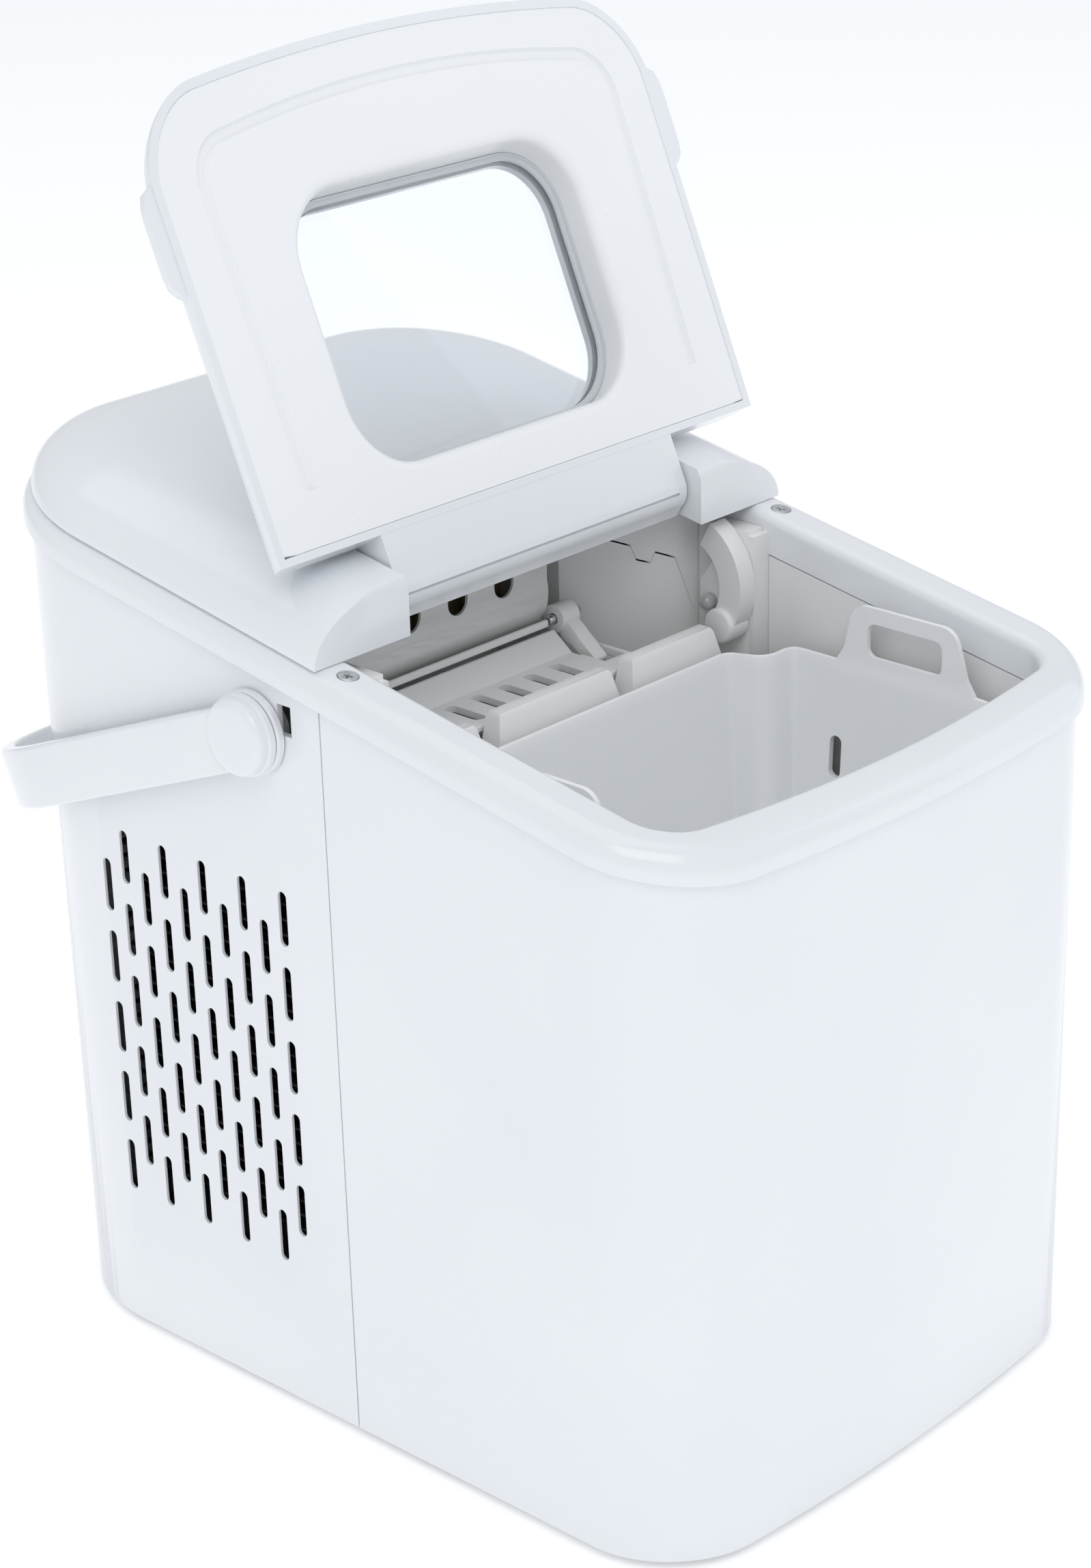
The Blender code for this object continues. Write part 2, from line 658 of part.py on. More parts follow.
def basket_outline(grow):
    half = BASKET_HALF + grow
    pts = []
    for x, y in outline(half, -119.5 - grow, 60, 16, 16, BODY_BOW, 0.0)[0]:
        if y < -30:
            pts.append((x, y))
    rear = -8.6 + grow
    pts += [(half, -22.0 + grow), (75.0 + grow, -22.0 + grow), (69.0, -8.6 + grow), (-half + 6, rear), (-half, rear - 6)]
    return pts


basket_rows = []
for grow, z in ((-6.0, BASKET_FLOOR), (0.0, BASKET_TOP), (-BASKET_T, BASKET_TOP), (-6.0 - BASKET_T, BASKET_FLOOR + 2.2)):
    basket_rows.append([(x, y, z) for x, y in basket_outline(grow)])
basket = piece("ice_basket", loft(basket_rows), WARM)
for name, side in (("left", -1), ("right", 1)):
    x0 = side * (BASKET_HALF - BASKET_T + 0.4)
    x1 = side * (BASKET_HALF - 0.5)
    loop = [(-42.0, BASKET_TOP - 2), (-47.0, BASKET_TOP + 4), (-50.0, 245.0), (-54.0, 247.5),
            (-88.0, 247.5), (-92.0, 245.0), (-96.0, BASKET_TOP + 4), (-101.0, BASKET_TOP - 2)]
    boolean(basket, piece("basket_loop_" + name, extrude_x(loop, min(x0, x1), max(x0, x1)), None), "UNION")
    hole = [(-56.0, 230.0), (-87.0, 230.0), (-87.0, 242.0), (-56.0, 242.0)]
    boolean(basket, piece("basket_grip_" + name, extrude_x(hole, side * 80, side * 100), None))
drains = []
for i in range(7):
    x = -54 + 18 * i
    drains.append(box((x - 1.5, x + 1.5), (-100, -36), (BASKET_FLOOR - 5, BASKET_FLOOR + 8)))
boolean(basket, piece("basket_drains", merge(*drains), None))

# Ice shovel: a slotted plate with a turned-up rear edge
shovel_line = [(4.2, SHOVEL_Z), (27.6, SHOVEL_Z), (36.0, SHOVEL_Z + 7), (36.0, SHOVEL_Z + 8.6), (34.6, SHOVEL_Z + 8.6),
               (26.6, SHOVEL_Z + 2.5), (4.2, SHOVEL_Z + 2.5)]
shovel = piece("ice_shovel", extrude_x(shovel_line, -84.0, 44.0), WARM)
slots = []
for i in range(8):
    x = -69.5 + 12.5 * i
    slots.append(box((x - 2.5, x + 2.5), (8.0, 26.0), (SHOVEL_Z - 5, SHOVEL_Z + 5)))
slots.append(box((32.0, 42.0), (12.5, 31.5), (SHOVEL_Z - 5, SHOVEL_Z + 5)))
boolean(shovel, piece("shovel_slots", merge(*slots), None))
boolean(shovel, piece("shovel_notch", box((31.0, 43.0), (23.0, 40.0), (SHOVEL_Z + 1.5, SHOVEL_Z + 14)), None))

# Steel rod and the lever that pushes the shovel
rod = lathe((30.5, ROD_Y, ROD_Z), (1, 0, 0), ((0.0, 1.3), (0.4, 1.6), (15.1, 1.6), (15.5, 1.3)), 12)
piece("shovel_rod", rod, STEEL, None, True)
reach = (-sin(LEVER_ANGLE), -cos(LEVER_ANGLE))
across = (cos(LEVER_ANGLE), -sin(LEVER_ANGLE))
lever_line = []
for along, wide in ((0.0, 3.0), (21.5, 2.2), (21.5, -2.2), (0.0, -3.0)):
    lever_line.append((ROD_Y + reach[0] * along + across[0] * wide, ROD_Z + reach[1] * along + across[1] * wide))
lever = piece("shovel_lever", extrude_x(lever_line, 34.0, 40.0), WARM, (0.0, ROD_Y, ROD_Z))
boolean(lever, piece("lever_hub", lathe((33.0, ROD_Y, ROD_Z), (1, 0, 0), ((0.0, 5.0), (8.5, 5.0)), 20), None), "UNION")
boolean(lever, piece("lever_bore", lathe((25.0, ROD_Y, ROD_Z), (1, 0, 0), ((0.0, 1.9), (20.0, 1.9)), 16), None))

# Water tray: a trough with stub axles and overflow openings
trough = [(38.0, 264.5)] + arc(TRAY_Y, TRAY_Z, TRAY_R, 166, 370, 14) + [(50.0, 251.2), (41.6, 256.0), (39.6, 264.5)]
tray = piece("water_tray", extrude_x(trough, TRAY_X[0], TRAY_X[1]), SILICONE, (0.0, TRAY_Y, TRAY_Z))
room = [(39.4, 290.0)] + arc(TRAY_Y, TRAY_Z, TRAY_R - TRAY_T, 170, 380, 14) + [(90.0, 290.0)]
boolean(tray, piece("tray_room", extrude_x(room, TRAY_X[0] + 2, TRAY_X[1] - 2), None))
axles = []
for x0, side, length in ((TRAY_X[0] + 1, -1, 15.5), (TRAY_X[1] - 1, 1, 20.0)):
    axles.append(lathe((x0, TRAY_Y, TRAY_Z - 3), (side, 0, 0), ((0.0, 2.6), (1.5, 2.6)), 12))
    axles.append(lathe((x0, TRAY_Y, TRAY_Z), (side, 0, 0), ((0.2, 3.0), (length, 3.0)), 16))
boolean(tray, piece("tray_axle_left", merge(axles[1]), None), "UNION")
boolean(tray, piece("tray_axle_right", merge(axles[3]), None), "UNION")
windows = []
for i in range(4):
    x = -55.0 + 22.0 * i
    hole = []
    for cx, cz in arc(x, 255.0, 4.6, 180, 360, 5) + arc(x, 257.0, 4.6, 0, 180, 5):
        hole.append((cx, cz))
    windows.append(loft([[(px, y, pz) for px, pz in hole] for y in (30.0, 46.0)]))
boolean(tray, piece("tray_windows", merge(*windows), None))
boolean(chamber, piece("chamber_bores", merge(
    lathe((-86.0, TRAY_Y, TRAY_Z), (-1, 0, 0), ((0.0, 3.4), (6.0, 3.4)), 16)), None))

# Evaporator: a header with a row of fingers, and its two tube ends
header_end = FINGER_X + FINGER_PITCH * (FINGERS - 1)
header_path = bend(((-70, 110, 270), (-70, 84, 270), (-70, 56, 270), (-70, 56, 261), (header_end + 6, 56, 261),
                    (header_end + 6, 56, 270), (header_end + 6, 84, 270), (header_end + 6, 110, 270)), 7)
evaporator = piece("evaporator", tube(header_path, 4.0, 10), COPPER)
fingers = []
for i in range(FINGERS):
    x = FINGER_X + FINGER_PITCH * i
    profile = ((0.0, 2.0), (1.5, 3.3), (4.0, 4.0), (26.0, 4.4), (28.0, 3.6))
    fingers.append(lathe((x, TRAY_Y, 234.0), (0, 0, 1), profile, 12))
boolean(evaporator, piece("evaporator_fingers", merge(*fingers), None), "UNION")

# Drive housing and gear motor on the right of the tray
wall = [(46.0, 75.4), (46.0, 46.0), (58.0, 31.0), (76.0, 21.0), (86.6, 18.0), (86.6, 75.4)]
housing = piece("drive_housing", extrude_z(wall, CHAMBER_FLOOR + 2.5 + GAP, 266.0), WARM)
inside = [(48.0, 73.4), (48.0, 47.0), (59.4, 33.0), (76.8, 23.2), (84.6, 21.0), (84.6, 73.4)]
boolean(housing, piece("housing_hollow", extrude_z(inside, 190, 264.0), None))
boolean(housing, piece("housing_bores", merge(
    lathe((45.0, TRAY_Y, TRAY_Z), (1, 0, 0), ((0.0, 3.4), (4.0, 3.4)), 16),
    lathe((45.0, ROD_Y, ROD_Z), (1, 0, 0), ((0.0, 1.9), (4.0, 1.9)), 12)), None))
motor = ((0.0, 3.0), (4.0, 3.0), (4.0, 7.5), (14.0, 7.5), (14.0, 6.5), (26.0, 6.5), (28.0, 5.0))
piece("tray_motor", lathe((51.6, TRAY_Y, TRAY_Z), (1, 0, 0), motor, 24), ZINC, None, True)

# Sensor bracket on the right wall: an arch, a round stop and a rib that carries the lens
arch = arc(18.0, 243.0, 24.0, 220, 128, 8) + arc(18.0, 243.0, 17.0, 128, 220, 8)
bracket = piece("sensor_bracket", extrude_x(arch, 79.0, 86.7), WARM)
stop = lathe((86.5, 1.5, 230.0), (-1, 0, 0), ((0.0, 6.2), (8.5, 6.2), (9.5, 5.2)), 20)
boolean(bracket, piece("bracket_stop", stop, None), "UNION")
rib = [(1.0, 232.0), (13.5, 229.0), (13.5, 243.0), (5.0, 255.0)]
boolean(bracket, piece("bracket_rib", extrude_x(rib, 82.5, 86.4), None), "UNION")
sensor = ((0.0, 2.8), (3.0, 2.8), (4.2, 2.2), (4.9, 1.0))
piece("ice_sensor", lathe((82.2, 8.5, 236.5), (-1, 0, 0), sensor, 16), CLEAR, None, True)

# Feet
for name, x, y in (("foot_front_left", -82, -108), ("foot_front_right", 82, -108),
                   ("foot_rear_left", -72, 132), ("foot_rear_right", 72, 132)):
    piece(name, lathe((x, y, -3.0), (0, 0, 1), ((0.0, 8.0), (0.8, 9.0), (3.2, 9.0)), 20), RUBBER, None, True)

# Compressor on the base
cx, cy = COMPRESSOR
can = ((0.0, 30.0), (3.0, 36.0), (8.0, COMPRESSOR_R), (88.0, COMPRESSOR_R), (104.0, 38.0), (114.0, 24.0), (117.0, 8.0))
piece("compressor", lathe((cx, cy, 4.0 + GAP), (0, 0, 1), can, 32), BLACK_PAINT, None, True)

# Condenser with stacked fins, fan shroud, fan motor and blades behind the left vents
comb = []
for i in range(22):
    z = 62.0 + 5.4 * i
    comb += [(-104.0, z), (-104.0, z + 0.9), (-95.0, z + 0.9), (-95.0, z + 5.4)]
comb += [(-104.0, 180.8), (-104.0, 181.7), (-85.0, 181.7)]
for i in reversed(range(22)):
    z = 62.0 + 5.4 * i
    comb += [(-85.0, z + 5.4), (-94.0, z + 5.4), (-94.0, z + 0.9), (-85.0, z + 0.9)]
comb += [(-85.0, 62.0)]
outline_fins = []
for point in comb:
    if not outline_fins or (Vector(point) - Vector(outline_fins[-1])).length > 0.01:
        outline_fins.append(point)
condenser = loft([[(x, y, z) for x, z in outline_fins] for y in (22.0, 108.0)])
piece("condenser", condenser, ALUMINIUM)
shroud = piece("fan_shroud", box((-84.0, -64.0), (24.0, 106.0), (80.0, 164.0)), BLACK_PAINT)
FAN_AXIS = (-64.0, FAN_Y, FAN_Z)
throat = lathe((-60.0, FAN_Y, FAN_Z), (-1, 0, 0), ((0.0, FAN_R + 1.5), (30.0, FAN_R + 1.5)), 32)
boolean(shroud, piece("fan_throat", throat, None))
spokes = merge(box((-66.0, -64.0), (24.5, 105.5), (FAN_Z - 3, FAN_Z + 3)))
boolean(shroud, piece("fan_spokes", spokes, None), "UNION")
piece("fan_motor", lathe((-63.7, FAN_Y, FAN_Z), (1, 0, 0), ((0.0, 15.0), (14.0, 15.0), (17.0, 12.0)), 24), ZINC, None,
      True)
hub = lathe((-67.0, FAN_Y, FAN_Z), (-1, 0, 0), ((0.0, 11.0), (11.0, 11.0), (13.0, 8.0)), 20)
fan = piece("fan_blades", hub, DARK, (-74.0, FAN_Y, FAN_Z))
blades = []
for i in range(5):
    spin = Matrix.Rotation(2 * pi * i / 5, 3, "X")
    rings = []
    for radius, pitch, chord in ((9.5, 0.85, 13.0), (22.0, 0.6, 19.0), (FAN_R - 1.0, 0.42, 23.0)):
        ring = []
        for u, v in ((-0.5, -0.8), (0.5, -0.8), (0.5, 0.8), (-0.5, 0.8)):
            along = u * chord
            local = Vector((along * sin(pitch) * 0.62 + v * cos(pitch), along * cos(pitch) - v * sin(pitch), radius))
            ring.append(Vector((-73.5, FAN_Y, FAN_Z)) + spin @ local)
        rings.append(ring)
    blades.append(loft(rings))
boolean(fan, piece("fan_blade_set", merge(*blades), None), "UNION")

# Refrigerant lines and drier
discharge = bend(((cx - 20, cy - 30, 124), (cx - 20, cy - 30, 145), (-60, 112, 145), (-92, 112, 145), (-92, 112, 172),
                  (-92, 108.3, 172)), 6)
piece("discharge_line", tube(discharge, 2.4, 8), COPPER, None, True)
suction = bend(((header_end + 6, 110.4, 270), (header_end + 6, 122, 270), (header_end + 6, 122, 150), (34, 122, 150),
                (34, 122, 121.8)), 8)
piece("suction_line", tube(suction, 3.0, 8), COPPER, None, True)
drier = ((0.0, 2.0), (4.0, 2.4), (9.0, 8.0), (52.0, 8.0), (57.0, 2.4), (61.0, 2.0))
piece("filter_drier", lathe((-70, 124, 72), (0, 0, 1), drier, 16), COPPER, None, True)
capillary = bend(((-70, 124, 133.4), (-70, 124, 160), (-82, 130, 180), (-70, 118, 210), (-70, 118, 270),
                  (-70, 110.4, 270)), 7)
piece("capillary_tube", tube(capillary, 1.3, 6), COPPER, None, True)

# Pump on the base behind the tank and its hose up to the tray
pump = ((0.0, 6.0), (0.0, 16.0), (22.0, 16.0), (22.0, 13.0), (40.0, 13.0), (42.0, 10.0))
piece("water_pump", lathe((60.0, 24.0, 22.0), (0, 0, 1), pump[1:], 24), DARK, None, True)
hose = bend(((60.0, 24.0, 64.4), (60.0, 24.0, 120.0), (66.0, 60.0, 170.0), (66.0, 88.0, 190.0), (66.0, 92.0, 250.0),
             (44.0, 92.0, 280.0), (14.0, 84.0, 280.0), (14.0, 67.0, 280.0), (14.0, 66.0, 271.0)), 8)
piece("water_hose", tube(hose, 3.4, 8), SILICONE, None, True)

# Control board on the right wall of the machine room
board = piece("control_board", box((100.0, 101.6), (82.0, 126.0), (196.0, 262.0)), GREEN)
chips = merge(box((92.0, 100.5), (86.0, 104.0), (202.0, 222.0)), box((90.0, 100.5), (108.0, 120.0), (202.0, 214.0)),
              box((95.0, 100.5), (88.0, 118.0), (232.0, 240.0)))
boolean(board, piece("board_parts", chips, None), "UNION")

# Control panel on the rear cover with two buttons and a light window
PANEL_Y = 48.0


def pad(x0, x1, y0, y1, low_z, high_z, r=4.0, steps=4):
    """Rounded pad lying on the sloping top, with flat faces level with the slope."""
    pts = arc(x1 - r, y0 + r, r, 270, 360, steps) + arc(x1 - r, y1 - r, r, 0, 90, steps)
    pts += arc(x0 + r, y1 - r, r, 90, 180, steps) + arc(x0 + r, y0 + r, r, 180, 270, steps)
    return loft([sloped(pts, low_z), sloped(pts, high_z)])


boolean(cover, piece("panel_pocket", pad(-44.3, 44.3, 37.7, 58.3, 17.0, 30.0, 5.3), None))
boolean(cover, piece("panel_shelf", pad(-47.0, 47.0, 35.0, 61.0, 14.4, 17.3, 7.0), None), "UNION")
panel = piece("control_panel", pad(-44.0, 44.0, 38.0, 58.0, 17.3 + GAP, 19.9, 5.0), DARK)
for name, x in (("power_button", -26.0), ("size_button", 26.0)):
    hole = pad(x - 9.3, x + 9.3, PANEL_Y - 6.3, PANEL_Y + 6.3, 10.0, 30.0, 4.3)
    boolean(panel, piece(name + "_hole", hole, None))
    button = pad(x - 9.0, x + 9.0, PANEL_Y - 6.0, PANEL_Y + 6.0, 18.3, 20.9)
    z = TOP_Z + SLOPE * PANEL_Y
    piece(name, button, WARM, (x, PANEL_Y, z + 20.9))
lens_hole = pad(-11.3, 11.3, 43.7, 52.3, 10.0, 30.0, 2.3)
boolean(panel, piece("lens_hole", lens_hole, None))
piece("light_window", pad(-11.0, 11.0, 44.0, 52.0, 17.3 + GAP, 20.2, 2.0), CLEAR)

# Cord gland on the rear panel, drain plug on the right side
gland_bore = lathe((62.0, BODY_REAR + 5, 34.0), (0, -1, 0), ((0.0, 8.3), (12.0, 8.3)), 20)
boolean(rear_panel, piece("gland_bore", gland_bore, None))
gland = ((0.0, 3.5), (0.0, 8.0), (7.2, 8.0), (7.2, 10.5), (10.2, 9.5), (10.2, 3.5))
gland_at = (62.0, BODY_REAR - 7.2 + GAP, 34.0)
piece("cord_gland", ring_lathe(gland_at, (0, 1, 0), gland, 20), DARK, None, True)
plug_y = -84.0
plug_z = 40.0
boolean(front_panel, piece("plug_bore", lathe((104.0, plug_y, plug_z), (1, 0, 0), ((0.0, 9.0), (12.0, 9.0)), 20), None))
boolean(tank, piece("tank_drain", lathe((90.0, plug_y, plug_z), (1, 0, 0), ((0.0, 5.3), (12.0, 5.3)), 16), None))
plug = ((0.0, 3.6), (0.6, 4.2), (12.0, 4.9), (12.0, 8.4), (15.4, 8.4), (16.2, 7.4))
piece("drain_plug", lathe((96.0, plug_y, plug_z), (1, 0, 0), plug, 20), WARM, (96.0, plug_y, plug_z), True)

# Two screws hold the rear panel to the base
for name, x in (("rear_screw_left", -36.0), ("rear_screw_right", 36.0)):
    at = (x, BODY_REAR - 0.2, 10.0)
    profile = ((-10.0, 0.8), (-9.0, 1.5), (-2.4, 1.5), (-0.4, 3.2), (0.0, 3.2))
    piece(name, lathe(at, (0, 1, 0), profile, 16), STEEL, at, True)
    bore = ((-14.0, 1.8), (-2.5, 1.8), (-0.3, 3.5), (3.0, 3.5))
    hole = piece(name + "_hole", lathe(at, (0, 1, 0), bore, 16), None)
    boolean(rear_panel, hole)
    boolean(base_pan, hole)
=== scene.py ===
import bpy
import bmesh
from math import acos, atan, cos, hypot, pi, radians, sin, sqrt
from mathutils import Matrix, Vector


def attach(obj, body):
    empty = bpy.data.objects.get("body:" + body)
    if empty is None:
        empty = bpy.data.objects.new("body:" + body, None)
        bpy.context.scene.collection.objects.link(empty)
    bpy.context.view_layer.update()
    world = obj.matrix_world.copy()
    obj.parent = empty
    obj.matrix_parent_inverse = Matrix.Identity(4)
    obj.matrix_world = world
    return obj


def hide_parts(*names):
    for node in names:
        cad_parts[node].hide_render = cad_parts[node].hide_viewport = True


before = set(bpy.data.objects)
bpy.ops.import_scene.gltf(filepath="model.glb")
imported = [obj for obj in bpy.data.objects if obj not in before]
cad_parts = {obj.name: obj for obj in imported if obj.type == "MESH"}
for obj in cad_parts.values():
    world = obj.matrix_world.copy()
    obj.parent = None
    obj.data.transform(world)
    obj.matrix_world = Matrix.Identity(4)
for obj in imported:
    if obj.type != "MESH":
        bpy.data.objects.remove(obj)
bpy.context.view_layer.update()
scene = bpy.context.scene

# Studio. A pale seamless floor, one broad soft light from the upper left front, a weaker one from the
# right and an even white surround, so that the glossy white body is shaded by soft reflections.
camera_data = bpy.data.cameras.new("camera")
camera_data.sensor_fit = "AUTO"
camera_data.sensor_width = 36.0
camera_data.lens = 80.083
camera_data.shift_x = -0.0809
camera_data.shift_y = 0.0907
camera_data.clip_start = 0.05
camera = bpy.data.objects.new("camera", camera_data)
camera.location = (-0.78020, -0.74615, 0.64665)
camera.rotation_euler = (radians(64.919), radians(0.5809), radians(-49.0365))
scene.collection.objects.link(camera)
scene.camera = camera


def softbox(name, place, aim, size, power, tint=(1.0, 1.0, 1.0)):
    data = bpy.data.lights.new(name, "AREA")
    data.shape = "RECTANGLE"
    data.size = size[0]
    data.size_y = size[1]
    data.energy = power
    data.color = tint
    lamp = bpy.data.objects.new(name, data)
    lamp.location = place
    lamp.rotation_euler = (Vector(aim) - Vector(place)).to_track_quat("-Z", "Y").to_euler()
    scene.collection.objects.link(lamp)
    return lamp


softbox("key_softbox", (-1.1, -1.0, 1.9), (0.0, 0.0, 0.2), (1.6, 1.2), 10.0, (1.0, 0.995, 0.99))
softbox("side_softbox", (1.9, -0.9, 0.9), (0.0, 0.0, 0.2), (1.4, 1.6), 4.0, (0.93, 0.96, 1.0))
softbox("top_softbox", (0.1, 0.5, 2.2), (0.0, 0.0, 0.2), (1.8, 1.8), 6.0)

world = bpy.data.worlds.new("studio")
world.use_nodes = True
world.node_tree.nodes["Background"].inputs["Color"].default_value = (0.93, 0.96, 1.0, 1.0)
world.node_tree.nodes["Background"].inputs["Strength"].default_value = 0.67
scene.world = world
scene.view_settings.view_transform = "Standard"

floor_mesh = bpy.data.meshes.new("floor")
floor_mesh.from_pydata([(-6, -6, 0), (6, -6, 0), (6, 6, 0), (-6, 6, 0)], [], [(0, 1, 2, 3)])
floor = bpy.data.objects.new("floor", floor_mesh)
scene.collection.objects.link(floor)
floor_paint = bpy.data.materials.new("floor_paper")
floor_paint.use_nodes = True
paper = floor_paint.node_tree.nodes["Principled BSDF"]
paper.inputs["Base Color"].default_value = (0.95, 0.955, 0.96, 1.0)
paper.inputs["Roughness"].default_value = 0.9
paper.inputs["Emission Color"].default_value = (1.0, 1.0, 1.0, 1.0)
paper.inputs["Emission Strength"].default_value = 0.28
floor_mesh.materials.append(floor_paint)


# Front panel. One U-shaped moulding in glossy white ABS, 2.5 mm thick, bowed across the front with
# upright round corners. It meets the rear panel at the side seams and tucks up behind the frame's skirt.
def at(x, y, z):
    """A point given in millimetres, from the side seam and the panels' lower edge, in the part's metres."""
    return Vector((x * 0.001, (y - 18.1) * 0.001, (z + 3.0) * 0.001))


def skin(rings, closed=False):
    """Faces over rings of equal length, with both ends capped unless the rings close on themselves."""
    bm = bmesh.new()
    rows = [[bm.verts.new(at(*p)) for p in ring] for ring in rings]
    count = len(rows[0])
    spans = len(rows) if closed else len(rows) - 1
    for i in range(spans):
        near = rows[i]
        far = rows[(i + 1) % len(rows)]
        for j in range(count):
            k = (j + 1) % count
            bm.faces.new((near[j], near[k], far[k], far[j]))
    if not closed:
        bm.faces.new(list(reversed(rows[0])))
        bm.faces.new(rows[-1])
    return bm


def solid(name, bm, crease=35.0):
    """A finished piece from a closed mesh: faces out, round faces smooth, sharp only past the crease angle."""
    bmesh.ops.recalc_face_normals(bm, faces=bm.faces)
    if bm.calc_volume(signed=True) < 0.0:
        bmesh.ops.reverse_faces(bm, faces=bm.faces)
    mesh = bpy.data.meshes.new(name)
    bm.to_mesh(mesh)
    bm.free()
    mesh.shade_smooth()
    mesh.set_sharp_from_angle(angle=radians(crease))
    obj = bpy.data.objects.new(name, mesh)
    scene.collection.objects.link(obj)
    return obj


def cut_with(obj, cutter, operation="DIFFERENCE", crease=35.0):
    """Cut a ready-made solid out of a piece, or join it on, keep the plain result and drop the solid."""
    mod = obj.modifiers.new("cut", "BOOLEAN")
    mod.operation = operation
    mod.solver = "EXACT"
    mod.object = cutter
    settle(obj, crease)
    mesh = cutter.data
    bpy.data.objects.remove(cutter)
    bpy.data.meshes.remove(mesh)
    return obj


def carve(obj, bm, operation="DIFFERENCE", crease=35.0):
    """The same with a mesh that isn't an object yet."""
    return cut_with(obj, solid("tool", bm), operation, crease)


def settle(obj, crease=35.0):
    deps = bpy.context.evaluated_depsgraph_get()
    mesh = bpy.data.meshes.new_from_object(obj.evaluated_get(deps))
    obj.modifiers.clear()
    old = obj.data
    obj.data = mesh
    bpy.data.meshes.remove(old)
    mesh.shade_smooth()
    mesh.set_sharp_from_angle(angle=radians(crease))
    return obj


def soften(obj, width, segments=2, angle=40.0):
    """Break the sharp edges with a small radius, as a moulding has."""
    mod = obj.modifiers.new("soft_edges", "BEVEL")
    mod.width = width * 0.001
    mod.segments = segments
    mod.limit_method = "ANGLE"
    mod.angle_limit = radians(angle)
    mod.harden_normals = False
    mod.use_clamp_overlap = True
    return obj


def arc(cx, cy, radius, start, stop, steps):
    out = []
    for i in range(steps + 1):
        a = radians(start + (stop - start) * i / steps)
        out.append((cx + radius * cos(a), cy + radius * sin(a)))
    return out


def plan(half, front, rear, front_r, rear_r, bow, inset, steps=18):
    """Plan outline of the body family: bowed front, round corners, from the left seam round to itself."""
    half = half - inset
    front = front + inset
    rear = rear - inset
    fr = max(front_r - inset, 0.5)
    rr = max(rear_r - inset, 0.5)
    pts = [(-half, 0.0)]
    pts += arc(-half + fr, front + fr, fr, 180, 270, steps)
    span = half - fr
    pts += [(span * (t / 8.0 - 1.0), front) for t in range(1, 16)]
    pts += arc(half - fr, front + fr, fr, 270, 360, steps)
    pts += [(half, 0.0)]
    seam = len(pts) - 1
    pts += arc(half - rr, rear - rr, rr, 0, 90, steps)
    pts += [((half - rr) * t, rear) for t in (0.5, 0.0, -0.5)]
    pts += arc(-half + rr, rear - rr, rr, 90, 180, steps)
    bowed = []
    for i, (x, y) in enumerate(pts):
        if 0 < i < seam:
            y -= bow * (1 - (x / (half + inset)) ** 2) * min(1.0, (fr + front - y) / fr + 0.0001)
        bowed.append((x, y))
    return bowed, seam


def body_plan(inset):
    return plan(111.0, -138.6, 169.0, 33.0, 60.0, 7.6, inset)


TOP = 268.0
SLOPE = 0.181


def on_slope(points, height):
    """Points of a plan lifted to a height over the sloping top plane."""
    return [(x, y, TOP + SLOPE * y + height) for x, y in points]


def panel_top(y):
    return 257.6 + SLOPE * y + 3.5


def wall(outer, inner, low, high):
    """Upright wall between two lines, with its lower edge turned in by a small radius."""
    rings = []
    for (xo, yo), (xi, yi) in zip(outer, inner):
        top_o = high(yo)
        rings.append([(xo, yo, low + 0.6), (xo + (xi - xo) * 0.1, yo + (yi - yo) * 0.1, low + 0.2),
                      (xo + (xi - xo) * 0.3, yo + (yi - yo) * 0.3, low), (xi, yi, low), (xi, yi, high(yi)),
                      (xo, yo, top_o)])
    return skin(rings)


def nodes_of(name):
    mat = bpy.data.materials.new(name)
    mat.use_nodes = True
    tree = mat.node_tree
    return mat, tree, tree.nodes["Principled BSDF"]


def noise(tree, scale, detail=3.0, rough=0.5, stretch=None):
    """A noise pattern fixed to the piece by its Object coordinates."""
    coords = tree.nodes.new("ShaderNodeTexCoord")
    source = coords.outputs["Object"]
    if stretch:
        mapping = tree.nodes.new("ShaderNodeMapping")
        mapping.inputs["Scale"].default_value = stretch
        tree.links.new(source, mapping.inputs["Vector"])
        source = mapping.outputs["Vector"]
    node = tree.nodes.new("ShaderNodeTexNoise")
    node.inputs["Scale"].default_value = scale
    node.inputs["Detail"].default_value = detail
    node.inputs["Roughness"].default_value = rough
    tree.links.new(source, node.inputs["Vector"])
    return node


def ramp(tree, source, low, high, stops=(0.3, 0.7)):
    node = tree.nodes.new("ShaderNodeValToRGB")
    node.color_ramp.elements[0].position = stops[0]
    node.color_ramp.elements[1].position = stops[1]
    node.color_ramp.elements[0].color = (*low, 1.0)
    node.color_ramp.elements[1].color = (*high, 1.0)
    tree.links.new(source, node.inputs["Fac"])
    return node


def span(tree, source, low, high):
    node = tree.nodes.new("ShaderNodeMapRange")
    node.inputs["To Min"].default_value = low
    node.inputs["To Max"].default_value = high
    tree.links.new(source, node.inputs["Value"])
    return node


def emboss(tree, shader, source, strength, distance):
    node = tree.nodes.new("ShaderNodeBump")
    node.inputs["Strength"].default_value = strength
    node.inputs["Distance"].default_value = distance
    tree.links.new(source, node.inputs["Height"])
    tree.links.new(node.outputs["Normal"], shader.inputs["Normal"])
    return node


